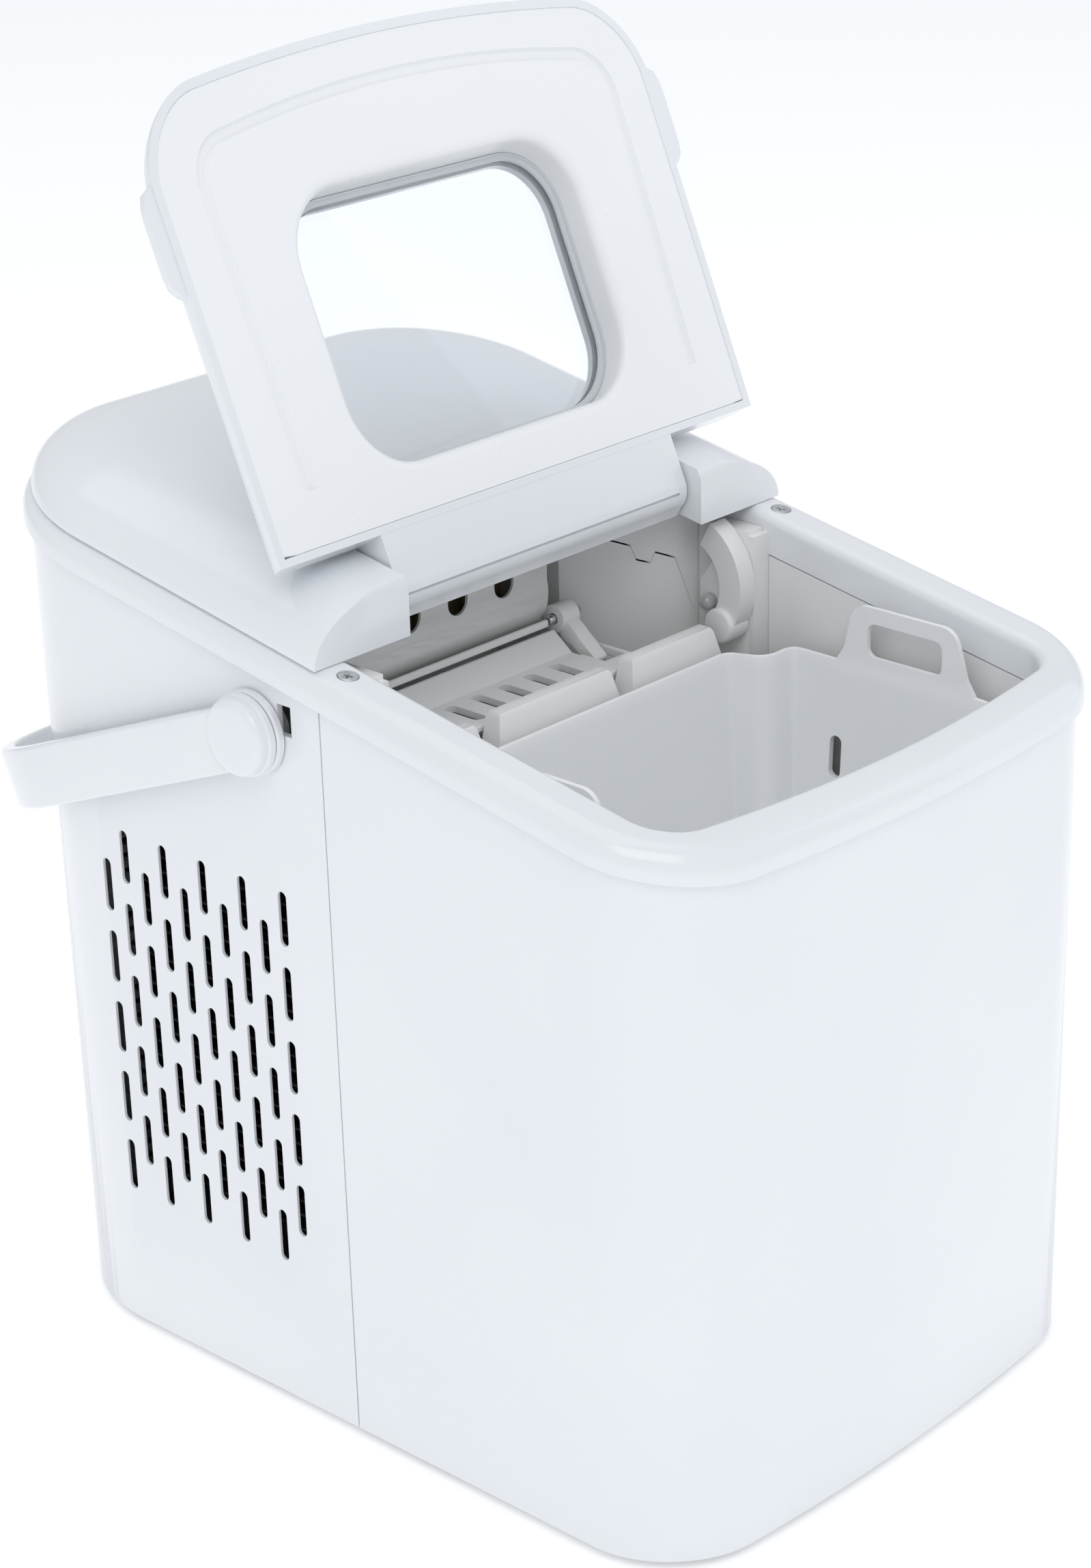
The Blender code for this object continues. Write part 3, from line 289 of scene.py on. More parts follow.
def moulded(name, low, high, gloss, grain, depth, coat=0.0, subsurface=0.0):
    """Moulded plastic: faint flow clouds in colour and gloss, and a fine skin texture."""
    mat, tree, shader = nodes_of(name)
    cloud = noise(tree, 9.0, 2.0)
    tint = ramp(tree, cloud.outputs["Fac"], low, high)
    tree.links.new(tint.outputs["Color"], shader.inputs["Base Color"])
    haze = noise(tree, 38.0, 4.0)
    shine = span(tree, haze.outputs["Fac"], gloss[0], gloss[1])
    tree.links.new(shine.outputs["Result"], shader.inputs["Roughness"])
    skin_grain = noise(tree, grain, 2.0)
    emboss(tree, shader, skin_grain.outputs["Fac"], depth, 0.0002)
    shader.inputs["IOR"].default_value = 1.50
    if coat:
        shader.inputs["Coat Weight"].default_value = coat
        shader.inputs["Coat Roughness"].default_value = 0.06
    if subsurface:
        shader.inputs["Subsurface Weight"].default_value = subsurface
        shader.inputs["Subsurface Scale"].default_value = 0.002
    return mat


def finish_piece(obj, mat, slot, body, *nodes):
    """Give the piece its finish, its body and the nodes that it stands for."""
    obj.data.materials.clear()
    obj.data.materials.append(mat)
    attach(obj, body)
    if nodes:
        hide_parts(*nodes)
    return obj


gloss_white = moulded("gloss_white_abs", (0.82, 0.84, 0.865), (0.85, 0.868, 0.89), (0.14, 0.22), 900.0, 0.03,
                      coat=0.25)

outer, seam = body_plan(0.0)
inner, seam = body_plan(2.5)
front_line = [(-111.0, -0.15)] + outer[1:seam] + [(111.0, -0.15)]
front_back = [(-108.5, -0.15)] + inner[1:seam] + [(108.5, -0.15)]
front_shell = solid("front_shell", wall(front_line, front_back, 0.0, panel_top))


def along_x(points, x0, x1):
    """Prism along x from (y, z) points."""
    return skin([[(x, y, z) for y, z in points] for x in (x0, x1)])


def drum(x0, x1, cy, cz, radius, segments=32):
    """Round bar along x."""
    turns = [2 * pi * i / segments for i in range(segments)]
    return along_x([(cy + radius * cos(a), cz + radius * sin(a)) for a in turns], x0, x1)


carve(front_shell, drum(104.0, 116.0, -84.0, 40.0, 9.0))
soften(front_shell, 0.4, 2, 50.0)
finish_piece(front_shell, gloss_white, "white_gloss", "cabinet", "front_panel")

# Rear panel. The same white ABS wrapped round the sides and back, with staggered rows of upright vent slots
# punched through both sides for the condenser and the fan.
rear_line = [(111.0, 0.15)] + outer[seam + 1:] + [(-111.0, 0.15)]
rear_back = [(108.5, 0.15)] + inner[seam + 1:] + [(-108.5, 0.15)]
rear_shell = solid("rear_shell", wall(rear_line, rear_back, 0.0, panel_top))

VENT_LENGTH = 19.0
VENT_WIDTH = 3.8
THIN_WALL = 109.8
PIVOT_Y = 29.0
PIVOT_Z = 243.0


def repeat_tree():
    """Nodes that set one item on every point of a grid of columns and rows, with odd columns shifted."""
    tree = bpy.data.node_groups.new("repeat_items", "GeometryNodeTree")
    face = tree.interface
    face.new_socket("Geometry", in_out="OUTPUT", socket_type="NodeSocketGeometry")
    wanted = (("Columns", "Int"), ("Rows", "Int"), ("Column step", "Vector"), ("Row step", "Vector"),
              ("Odd column shift", "Vector"), ("Item", "Object"), ("Material", "Material"))
    keys = [face.new_socket(label, in_out="INPUT", socket_type="NodeSocket" + kind).identifier
            for label, kind in wanted]
    make = tree.nodes.new
    link = tree.links.new
    source = make("NodeGroupInput")
    result = make("NodeGroupOutput")

    def number(operation, first, second):
        node = make("ShaderNodeMath")
        node.operation = operation
        for socket, value in zip(node.inputs, (first, second)):
            if isinstance(value, (int, float)):
                socket.default_value = value
            elif value is not None:
                link(value, socket)
        return node.outputs[0]

    def scaled(vector, factor):
        node = make("ShaderNodeVectorMath")
        node.operation = "SCALE"
        link(vector, node.inputs[0])
        link(factor, node.inputs["Scale"])
        return node.outputs[0]

    def added(first, second):
        node = make("ShaderNodeVectorMath")
        link(first, node.inputs[0])
        link(second, node.inputs[1])
        return node.outputs[0]

    line = make("GeometryNodeMeshLine")
    link(number("MULTIPLY", source.outputs["Columns"], source.outputs["Rows"]), line.inputs["Count"])
    line.inputs["Offset"].default_value = (0.0, 0.0, 0.0)
    index = make("GeometryNodeInputIndex").outputs[0]
    column = number("FLOOR", number("DIVIDE", number("ADD", index, 0.01), source.outputs["Rows"]), None)
    row = number("SUBTRACT", index, number("MULTIPLY", column, source.outputs["Rows"]))
    place = added(scaled(source.outputs["Column step"], column), scaled(source.outputs["Row step"], row))
    place = added(place, scaled(source.outputs["Odd column shift"], number("MODULO", column, 2.0)))
    move = make("GeometryNodeSetPosition")
    link(line.outputs["Mesh"], move.inputs["Geometry"])
    link(place, move.inputs["Position"])
    shape = make("GeometryNodeObjectInfo")
    link(source.outputs["Item"], shape.inputs["Object"])
    copies = make("GeometryNodeInstanceOnPoints")
    link(move.outputs["Geometry"], copies.inputs["Points"])
    link(shape.outputs["Geometry"], copies.inputs["Instance"])
    real = make("GeometryNodeRealizeInstances")
    link(copies.outputs["Instances"], real.inputs["Geometry"])
    coat = make("GeometryNodeSetMaterial")
    link(real.outputs["Geometry"], coat.inputs["Geometry"])
    link(source.outputs["Material"], coat.inputs["Material"])
    link(coat.outputs["Geometry"], result.inputs["Geometry"])
    return tree, keys


REPEAT, REPEAT_KEYS = repeat_tree()


def repeat(name, item, columns, rows, column_step, row_step, odd_shift, mat):
    """A plain mesh of the item repeated on the grid; the item itself is used up."""
    holder = bpy.data.objects.new(name, bpy.data.meshes.new(name))
    scene.collection.objects.link(holder)
    mod = holder.modifiers.new("repeat", "NODES")
    mod.node_group = REPEAT
    for key, value in zip(REPEAT_KEYS, (columns, rows, column_step, row_step, odd_shift, item, mat)):
        mod[key] = value
    settle(holder)
    mesh = item.data
    bpy.data.objects.remove(item)
    bpy.data.meshes.remove(mesh)
    return holder


def shift_mesh(obj, offset):
    for vert in obj.data.vertices:
        vert.co += offset
    return obj


def raw_skin(rings):
    """As skin, for points already in metres or still to be placed."""
    bm = bmesh.new()
    rows = [[bm.verts.new(Vector(p)) for p in ring] for ring in rings]
    for near, far in zip(rows, rows[1:]):
        for j in range(len(near)):
            k = (j + 1) % len(near)
            bm.faces.new((near[j], near[k], far[k], far[j]))
    bm.faces.new(list(reversed(rows[0])))
    bm.faces.new(rows[-1])
    return bm


def slot_punch(x0, x1):
    """One upright slot with round ends, centred on nothing: the grid gives its place."""
    r = VENT_WIDTH / 2
    reach = VENT_LENGTH / 2 - r
    ring = arc(0.0, reach, r, 0, 180, 8) + arc(0.0, -reach, r, 180, 360, 8)
    return solid("slot_punch", raw_skin([[Vector((x, y, z)) * 0.001 for y, z in ring] for x in (x0, x1)]))


def brick(xs, ys, zs):
    ring = [(xs[0], ys[0]), (xs[1], ys[0]), (xs[1], ys[1]), (xs[0], ys[1])]
    return skin([[(x, y, z) for x, y in ring] for z in zs])


for side in (-1, 1):
    carve(rear_shell, brick(sorted((side * 100.0, side * THIN_WALL)), (14.0, 114.0), (50.0, 196.0)))
    punches = repeat("vent_punches", slot_punch(side * 111.0 - 5.0, side * 111.0 + 5.0), 10, 5, (0, -0.00945, 0),
                     (0, 0, -0.0264), (0, 0, 0.0125), gloss_white)
    shift_mesh(punches, at(0.0, 106.8, 180.7 - 12.5))
    cut_with(rear_shell, punches)

for side in (-1, 1):
    carve(rear_shell, drum(side * 107.0, side * 113.0, PIVOT_Y, PIVOT_Z, 5.3))
    catch = [(12.6, 244.5), (18.6, 244.5), (18.6, 254.5), (12.6, 254.5)]
    carve(rear_shell, along_x(catch, side * 104.0, side * 114.0))


def spun(place, axis, profile, segments=40, inside=False):
    """Turned piece: profile holds (along, radius); inside closes the profile on itself for a ring."""
    turn = Vector((0, 0, 1)).rotation_difference(Vector(axis)).to_matrix()
    if inside:
        rings = []
        for i in range(segments):
            a = 2 * pi * i / segments
            rings.append([Vector(place) + turn @ Vector((r * cos(a), r * sin(a), s)) for s, r in profile])
        return skin(rings, closed=True)
    rings = []
    for along, radius in profile:
        ring = []
        for i in range(segments):
            a = 2 * pi * i / segments
            ring.append(Vector(place) + turn @ Vector((radius * cos(a), radius * sin(a), along)))
        rings.append(ring)
    return skin(rings)


carve(rear_shell, spun((62.0, 174.0, 34.0), (0, -1, 0), ((0.0, 8.3), (12.0, 8.3))))
for x in (-36.0, 36.0):
    carve(rear_shell, spun((x, 168.8, 10.0), (0, 1, 0), ((-14.0, 1.8), (-2.5, 1.8), (-0.3, 3.5), (3.0, 3.5)), 24))
soften(rear_shell, 0.35, 2, 50.0)
finish_piece(rear_shell, gloss_white, "white_gloss", "cabinet", "rear_panel")

# Top frame. One moulding that caps both panels: a skirt with a broad soft shoulder, a sloping flange round
# the ice bay and a lip that drops into the bay.
rings = [on_slope(body_plan(-2.5)[0], -10.4 + 0.5), on_slope(body_plan(-2.5)[0], -9.2)]
for step in range(9):
    a = pi / 2 * step / 8
    rings.append(on_slope(body_plan(7.6 * (1 - cos(a)) - 2.5)[0], 7.6 * (sin(a) - 1)))


def bay_plan(inset):
    return plan(95.0, -125.0, 152.0, 12.0, 46.0, 7.6, inset)[0]


for step in range(7):
    a = pi / 2 * step / 6
    rings.append(on_slope(bay_plan(-4.0 * (1 - sin(a))), 4.0 * (cos(a) - 1)))
rings += [on_slope(bay_plan(inset), height) for inset, height in
          ((0.0, -13.6), (-0.4, -14.0), (-2.2, -14.0), (-2.2, -6.2), (-6.0, -2.8))]
rings += [on_slope(body_plan(inset)[0], height) for inset, height in
          ((7.0, -2.8), (-0.3, -7.6), (-0.3, -10.4), (-2.0, -10.4))]
top_rim = solid("top_rim", skin(rings, closed=True))
for x in (-103.0, 103.0):
    z = TOP - 5.5 * SLOPE
    bore = ((-14.0, 1.8), (-2.6, 1.8), (-0.4, 3.6), (3.0, 3.9))
    carve(top_rim, spun((x, -5.5, z), (0.0, -0.178, 0.984), bore, 24))
finish_piece(top_rim, gloss_white, "white_gloss", "cabinet", "top_frame")


# Rear cover. A domed white moulding, about 20 mm high, over the cooling unit. In front it ends in two
# quarter-round lobes that hold the lid's hinge pins, with a notch between them for the lid's neck.
def dome_plan(inset):
    return plan(110.2, -139.6, 168.0, 27.0, 59.0, 9.0, inset, 20)[0]


def dome(shrink, drop, base):
    """The whole domed top as one solid, which the cover and the lid share."""
    rings = [on_slope(dome_plan(shrink), base)]
    rings.append(on_slope(dome_plan(shrink), base + 0.4))
    for inset in (0.15, 0.6, 1.4, 2.6, 4.2, 6.2, 8.8, 12.0, 16.0, 21.0, 27.0, 34.0):
        t = 1 - inset / 34.0
        rings.append(on_slope(dome_plan(inset + shrink), 19.0 * sqrt(1 - t * t) - drop))
    core = dome_plan(34.0 + shrink)
    for scale in (0.85, 0.65, 0.4, 0.15):
        pts = [(x * scale, 10 + (y - 10) * scale) for x, y in core]
        rings.append(on_slope(pts, 19.0 + 1.0 - scale * scale - drop))
    return skin(rings)


HINGE_Y = 15.2
HINGE_Z = 279.7
LEAN = atan(SLOPE)


def hinge_prism(line, x0, x1):
    """Prism along x from (back, up) points off the hinge axis, measured along and off the slope."""
    pts = []
    for back, up in line:
        y = HINGE_Y + back * cos(LEAN) - up * sin(LEAN)
        z = HINGE_Z + back * sin(LEAN) + up * cos(LEAN)
        pts.append((y, z))
    return along_x(pts, x0, x1)


def notch_line(grow):
    return [(-34.0, -60.0), (12.9 + grow, -60.0), (12.9 + grow, -2.3), (25.0 + grow, 16.3), (25.0 + grow, 40.0),
            (-34.0, 40.0)]


def pad(x0, x1, y0, y1, low, high, r, steps=8):
    """Rounded pad on the sloping top."""
    pts = arc(x1 - r, y0 + r, r, 270, 360, steps) + arc(x1 - r, y1 - r, r, 0, 90, steps)
    pts += arc(x0 + r, y1 - r, r, 90, 180, steps) + arc(x0 + r, y0 + r, r, 180, 270, steps)
    return skin([on_slope(pts, low), on_slope(pts, high)])


back_cover = solid("back_cover", dome(0.0, 0.0, 0.3))
hollow = solid("hollow", dome(2.5, 2.5, -6.0))
carve(hollow, brick((-130, 130), (-200, 4.0), (200, 340)))
carve(hollow, hinge_prism(notch_line(2.5), -71.7, 71.7))
cut_with(back_cover, hollow)
carve(back_cover, brick((-130, 130), (-200, 1.5), (200, 340)))
carve(back_cover, hinge_prism(notch_line(0.0), -69.2, 69.2))
carve(back_cover, hinge_prism([(-13.8, 5.7), (-7.2, 14.1), (-7.2, 24.0), (-24.0, 24.0), (-24.0, 5.7)], -130.0, 130.0))
for side in (-1, 1):
    carve(back_cover, drum(side * 66.0, side * 75.0, HINGE_Y, HINGE_Z, 2.8, 24))
carve(back_cover, pad(-44.3, 44.3, 37.7, 58.3, 17.0, 30.0, 5.3))
carve(back_cover, pad(-47.0, 47.0, 35.0, 61.0, 14.4, 17.3, 7.0), "UNION")
soften(back_cover, 0.7, 3, 45.0)
finish_piece(back_cover, gloss_white, "white_gloss", "cabinet", "rear_cover")

# Lid shell. The front half of the same dome in glossy white ABS, with a neck that turns between the lobes,
# a window opening and a finger tab on each side. It stands open, leaning back on its stop.
OPEN_TURN = radians(123.1)


def swing(bm):
    """Turn a lid piece from closed to its open rest place."""
    axis = at(0.0, HINGE_Y, HINGE_Z)
    shift = Matrix.Translation(axis)
    bmesh.ops.transform(bm, matrix=shift @ Matrix.Rotation(-OPEN_TURN, 4, "X") @ shift.inverted(), verts=bm.verts)
    return bm


def window_plan(grow):
    half = 60.0 + grow
    front = -101.5 - grow
    back = -20.5 + grow
    r = 20.0 + grow
    pts = arc(half - r, front + r, r, 270, 360, 14)
    pts += arc(half - r, back - r, r, 0, 90, 14)
    pts += arc(-half + r, back - r, r, 90, 180, 14)
    return pts + arc(-half + r, front + r, r, 180, 270, 14)


def upright(points, low, high):
    return skin([[(x, y, z) for x, y in points] for z in (low, high)])


lid_cap = solid("lid_cap", swing(dome(0.0, 0.0, 0.3)))
hollow = solid("hollow", dome(2.5, 2.5, -6.0))
carve(hollow, brick((-130, 130), (-2.1, 200), (200, 340)))
relief_in = [(-16.8, 0.1), (-25.1, 12.3), (-25.1, 40.0), (0.0, 40.0), (0.0, 0.1)]
carve(hollow, hinge_prism(relief_in, -120.0, 120.0))
bm = bmesh.new()
bm.from_mesh(hollow.data)
swing(bm)
bm.to_mesh(hollow.data)
bm.free()
cut_with(lid_cap, hollow)
carve(lid_cap, swing(brick((-130, 130), (0.4, 200), (200, 340))))
carve(lid_cap, swing(upright(window_plan(0.0), 220, 330)))
for x0, x1 in ((-120.0, -68.4), (68.4, 120.0)):
    relief = [(-14.0, 0.5), (-23.0, 13.8), (-23.0, 30.0), (-4.0, 30.0), (-4.0, 0.5)]
    carve(lid_cap, swing(hinge_prism(relief, x0, x1)))
neck = [(-17.0, -8.4)] + arc(0.0, 0.0, 8.5, -90, -20, 10) + arc(0.0, 0.0, 10.4, 0, 90, 14) + [(-17.0, 10.4)]
carve(lid_cap, swing(hinge_prism(neck, -68.0, 68.0)), "UNION")
slit = []
for r, turn in ((7.3, -69.5), (9.4, -69.0), (9.4, -62.5), (7.3, -62.0)):
    slit.append((r * cos(radians(turn)), r * sin(radians(turn))))
carve(lid_cap, swing(hinge_prism(slit, -64.5, 64.5)))
for side in (-1, 1):
    a = side * 109.0
    b = side * 115.2
    rows = []
    for y, x in ((-117.0, a), (-114.5, side * 113.5), (-111.0, side * 114.8), (-107.0, b), (-90.0, b),
                 (-86.5, side * 114.6), (-84.0, side * 112.5), (-82.0, a)):
        z = TOP + SLOPE * y
        root = a - side * 2
        rows.append([(root, y, z + 0.8), (x, y, z + 0.8), (x, y, z + 3.4), (root, y, z + 4.6)])
    carve(lid_cap, swing(skin(rows)), "UNION")
for side in (-1, 1):
    carve(lid_cap, swing(drum(side * 58.8, side * 71.0, HINGE_Y, HINGE_Z, 2.8, 24)))
soften(lid_cap, 0.6, 3, 45.0)
finish_piece(lid_cap, gloss_white, "white_gloss", "lid", "lid_shell")

# Lid liner. A flat satin-white inner skin that snaps into the shell, with a shallow U-shaped groove, and a deep
# window well whose lip rolls over softly. It ends at the neck with a thin seam.
def resample(points, centre, count):
    """The same outline as points at equal angles round a centre, so that two outlines can be joined."""
    out = []
    for i in range(count):
        a = 2 * pi * i / count + 0.001
        dx, dy = cos(a), sin(a)
        best = None
        for j, (x0, y0) in enumerate(points):
            x1, y1 = points[(j + 1) % len(points)]
            ex, ey = x1 - x0, y1 - y0
            det = dx * -ey + dy * ex
            if abs(det) < 1e-9:
                continue
            px, py = x0 - centre[0], y0 - centre[1]
            t = (px * -ey + py * ex) / det
            u = (dx * py - dy * px) / det
            if t > 0 and -1e-6 <= u <= 1 + 1e-6 and (best is None or t < best):
                best = t
        out.append((centre[0] + dx * best, centre[1] + dy * best))
    return out


def liner_plan(inset, rear):
    front = [(x, y) for x, y in dome_plan(inset) if y < rear]
    return front + [(110.2 - inset, rear), (-110.2 + inset, rear)]


WELL = (0.0, -61.0)
satin_white = moulded("satin_white_abs", (0.90, 0.91, 0.925), (0.925, 0.935, 0.945), (0.24, 0.34), 700.0, 0.05)
lip = []
for step in range(7):
    a = pi / 2 * step / 6
    lip.append((2.6 + 3.6 * (1 - sin(a)), 0.6 + 3.6 * (1 - cos(a))))
edges = [(liner_plan(3.1, -2.3), 0.6)] + [(window_plan(grow), height) for grow, height in lip]
edges += [(window_plan(grow), height) for grow, height in
          ((2.6, 8.0), (2.6, 13.0), (4.4, 13.0), (4.4, 5.2), (6.4, 2.6))]
edges += [(liner_plan(2.9, -2.2), 2.6), (liner_plan(2.9, -2.2), 1.0)]
rings = [on_slope(resample(edge, WELL, 240), height) for edge, height in edges]
inner_skin = solid("inner_skin", swing(skin(rings, closed=True)))
track = [(-88.6, -19.0), (-91.0, -100.0)]
track += arc(-91.0 + 15.0, -111.0, 15.0, 180, 258, 12)
track += [(x, -132.4 + 6.5 * (x / 78.0) ** 2) for x in (-60, -45, -30, -15, 0, 15, 30, 45, 60)]
track += arc(91.0 - 15.0, -111.0, 15.0, 282, 360, 12) + [(91.0, -100.0), (88.6, -19.0)]
rows = []
for i, (x, y) in enumerate(track):
    x0, y0 = track[max(i - 1, 0)]
    x1, y1 = track[min(i + 1, len(track) - 1)]
    run = hypot(x1 - x0, y1 - y0)
    nx, ny = -(y1 - y0) / run, (x1 - x0) / run
    row = []
    for across, height in ((-2.1, -1.0), (-2.1, 0.9), (-1.4, 1.9), (1.4, 1.9), (2.1, 0.9), (2.1, -1.0)):
        px, py = x + nx * across, y + ny * across
        row.append((px, py, TOP + SLOPE * py + height))
    rows.append(row)
carve(inner_skin, swing(skin(rows)))
soften(inner_skin, 0.3, 2, 50.0)
finish_piece(inner_skin, satin_white, "warm_satin", "lid", "lid_liner")

# Lid window. A clear acrylic pane with a raised rim, clipped into the well.
rings = [on_slope(window_plan(grow), height) for grow, height in
         ((4.2, 13.4), (4.3, 13.7), (4.3, 15.0), (4.0, 15.4), (2.2, 15.5), (1.2, 15.7), (-0.6, 15.8))]
pane = solid("pane", swing(skin(rings)))
rings = [on_slope(window_plan(grow), height) for grow, height in
         ((1.6, 12.0), (1.8, 11.4), (2.4, 11.4), (2.5, 13.35), (0.4, 13.35), (0.6, 12.6))]
pane_rim = solid("pane_rim", swing(skin(rings, closed=True)))
clear, tree, shader = nodes_of("clear_acrylic")
shader.inputs["Base Color"].default_value = (0.97, 0.985, 1.0, 1.0)
shader.inputs["Transmission Weight"].default_value = 1.0
shader.inputs["IOR"].default_value = 1.49
smear = noise(tree, 30.0, 3.0)
shine = span(tree, smear.outputs["Fac"], 0.0, 0.03)
tree.links.new(shine.outputs["Result"], shader.inputs["Roughness"])
emboss(tree, shader, noise(tree, 14.0, 1.0).outputs["Fac"], 0.04, 0.0006)
finish_piece(pane, clear, "clear_plastic", "lid", "lid_window")
rim_frost = moulded("frosted_rim", (0.86, 0.88, 0.92), (0.92, 0.94, 0.97), (0.08, 0.18), 300.0, 0.04)
rim_frost.node_tree.nodes["Principled BSDF"].inputs["Transmission Weight"].default_value = 0.35
finish_piece(pane_rim, rim_frost, "clear_plastic", "lid")

# Flange screws. Countersunk cross-head screws in bright zinc, one on the flange beside each lobe, and two
# more that hold the rear panel to the base.
def oriented(bm, place, axis):
    """Move a piece built round the z axis, in millimetres, to its place and direction."""
    turn = Vector((0, 0, 1)).rotation_difference(Vector(axis)).to_matrix().to_4x4()
    for vert in bm.verts:
        vert.co = at(*(Vector(place) + (turn @ Vector(vert.co))))
    return bm


def cross_screw(name, place, axis):
    rings = []
    for z, r in ((-9.0, 0.8), (-8.0, 1.5), (-2.4, 1.5), (-0.9, 2.9), (-0.5, 3.15), (-0.15, 3.1), (0.0, 2.8)):
        rings.append([(r * cos(2 * pi * i / 32), r * sin(2 * pi * i / 32), z) for i in range(32)])
    screw = solid(name, oriented(raw_skin(rings), place, axis))
    for quarter in (0.4, 0.4 + pi / 2):
        bar = []
        for z, s in ((-1.9, 0.35), (0.4, 1.0)):
            ring = []
            for u, v in ((-1.75 * s, -0.42 * s), (1.75 * s, -0.42 * s), (1.75 * s, 0.42 * s), (-1.75 * s, 0.42 * s)):
                ring.append((u * cos(quarter) - v * sin(quarter), u * sin(quarter) + v * cos(quarter), z))
            bar.append(ring)
        carve(screw, oriented(raw_skin(bar), place, axis))
    return screw


def metal(name, low, high, gloss, clouds, haze, grain=None, depth=0.0, distance=0.0003):
    """Bare or plated metal: clouds vary its colour, haze its gloss, and grain roughens its skin."""
    mat, tree, shader = nodes_of(name)
    shader.inputs["Metallic"].default_value = 1.0
    tint = ramp(tree, noise(tree, *clouds).outputs["Fac"], low, high)
    tree.links.new(tint.outputs["Color"], shader.inputs["Base Color"])
    shine = span(tree, noise(tree, *haze).outputs["Fac"], *gloss)
    tree.links.new(shine.outputs["Result"], shader.inputs["Roughness"])
    if grain:
        emboss(tree, shader, noise(tree, *grain).outputs["Fac"], depth, distance)
    return mat


zinc_screw = metal("screw_zinc", (0.50, 0.51, 0.52), (0.70, 0.71, 0.72), (0.22, 0.42), (400.0,), (900.0,))
for side, name in ((-1, "left"), (1, "right")):
    x = side * 103.0
    flange_screw = cross_screw("flange_screw_" + name, (x, -5.5, TOP - 5.5 * SLOPE), (0.0, -0.178, 0.984))
    finish_piece(flange_screw, zinc_screw, "steel", "cabinet", "frame_screw_" + name)
    x = side * 36.0
    back_screw = cross_screw("back_screw_" + name, (x, 168.8, 10.0), (0, 1, 0))
    finish_piece(back_screw, zinc_screw, "steel", "cabinet", "rear_screw_" + name)

# Carrying handle. A flat band in white ABS that runs from one side round the back to the other, and grows
# into a thick two-step boss at each pivot. A stud inside and a spacer washer hold each boss to the body.
ARM_LEAN = radians(-21.7)


def bail(offset):
    half = 117.0 + offset
    r = 58.0 + offset
    length = 161.5 + offset
    pts = [(-half, t) for t in (0.0, 20.0, 40.0, 60.0, 80.0)]
    pts += arc(-half + r, length - r, r, 180, 90, 20)
    pts += [(x, length) for x in (-30.0, 0.0, 30.0)]
    pts += arc(half - r, length - r, r, 90, 0, 20)
    return pts + [(half, t) for t in (80.0, 60.0, 40.0, 20.0, 0.0)]


def along_arm(x, reach, rise):
    y = PIVOT_Y + reach * cos(ARM_LEAN) - rise * sin(ARM_LEAN)
    z = PIVOT_Z + reach * sin(ARM_LEAN) + rise * cos(ARM_LEAN)
    return (x, y, z)


section = []
for cx, cz, start in ((1.0, -9.0, -90), (1.0, 9.0, 0), (-1.6, 9.6, 90), (-1.6, -9.6, 180)):
    r = 1.5 if cx > 0 else 0.9
    turns = [radians(start + 90 * t / 4) for t in range(5)]
    section += [(cx + r * cos(a), cz + r * sin(a)) for a in turns]
lines = [(bail(across), rise) for across, rise in section]
rings = []
for i in range(len(lines[0][0])):
    rings.append([along_arm(line[i][0], line[i][1], rise) for line, rise in lines])
carry_bow = solid("carry_bow", skin(rings))
for side in (-1, 1):
    boss = ((0.0, 12.9), (0.4, 13.4), (2.3, 13.4), (2.7, 13.1), (2.9, 12.6), (4.9, 12.55), (5.7, 12.2), (6.3, 11.5),
            (6.7, 10.4), (6.9, 9.0))
    carve(carry_bow, spun((side * 114.5, PIVOT_Y, PIVOT_Z), (side, 0, 0), boss, 64), "UNION")
    bore = ((0.0, 5.4), (4.8, 5.4), (5.2, 5.0))
    carve(carry_bow, spun((side * 113.0, PIVOT_Y, PIVOT_Z), (side, 0, 0), bore, 48))
soften(carry_bow, 0.5, 2, 50.0)
finish_piece(carry_bow, gloss_white, "white_gloss", "handle", "carry_handle")
for side, name in ((-1, "left"), (1, "right")):
    body = ((0.0, 8.0), (4.0, 8.0), (4.2, 5.0), (13.2, 5.0), (13.7, 4.4))
    stud = solid("pivot_stud_" + name, spun((side * 104.0, PIVOT_Y, PIVOT_Z), (side, 0, 0), body, 48))
    finish_piece(stud, gloss_white, "white_gloss", "cabinet", "handle_pivot_" + name)
    ring = ((0.0, 5.6), (0.0, 13.4), (0.4, 13.8), (2.4, 13.8), (2.9, 13.2), (2.9, 5.6))
    spacer = solid("pivot_spacer_" + name, spun((side * 111.3, PIVOT_Y, PIVOT_Z), (side, 0, 0), ring, 56, True))
    finish_piece(spacer, gloss_white, "white_gloss", "cabinet", "handle_washer_" + name)

# Water tank. An open tub of warm white ABS under the flange, which holds the water and the ice basket. Its
# rear wall is low, so that the ice can be pushed over it.
def tub_plan(grow, rear_y):
    front = [(x, y) for x, y in bay_plan(-grow) if y < -10]
    return [(-95.0 - grow, rear_y)] + front + [(95.0 + grow, rear_y)]


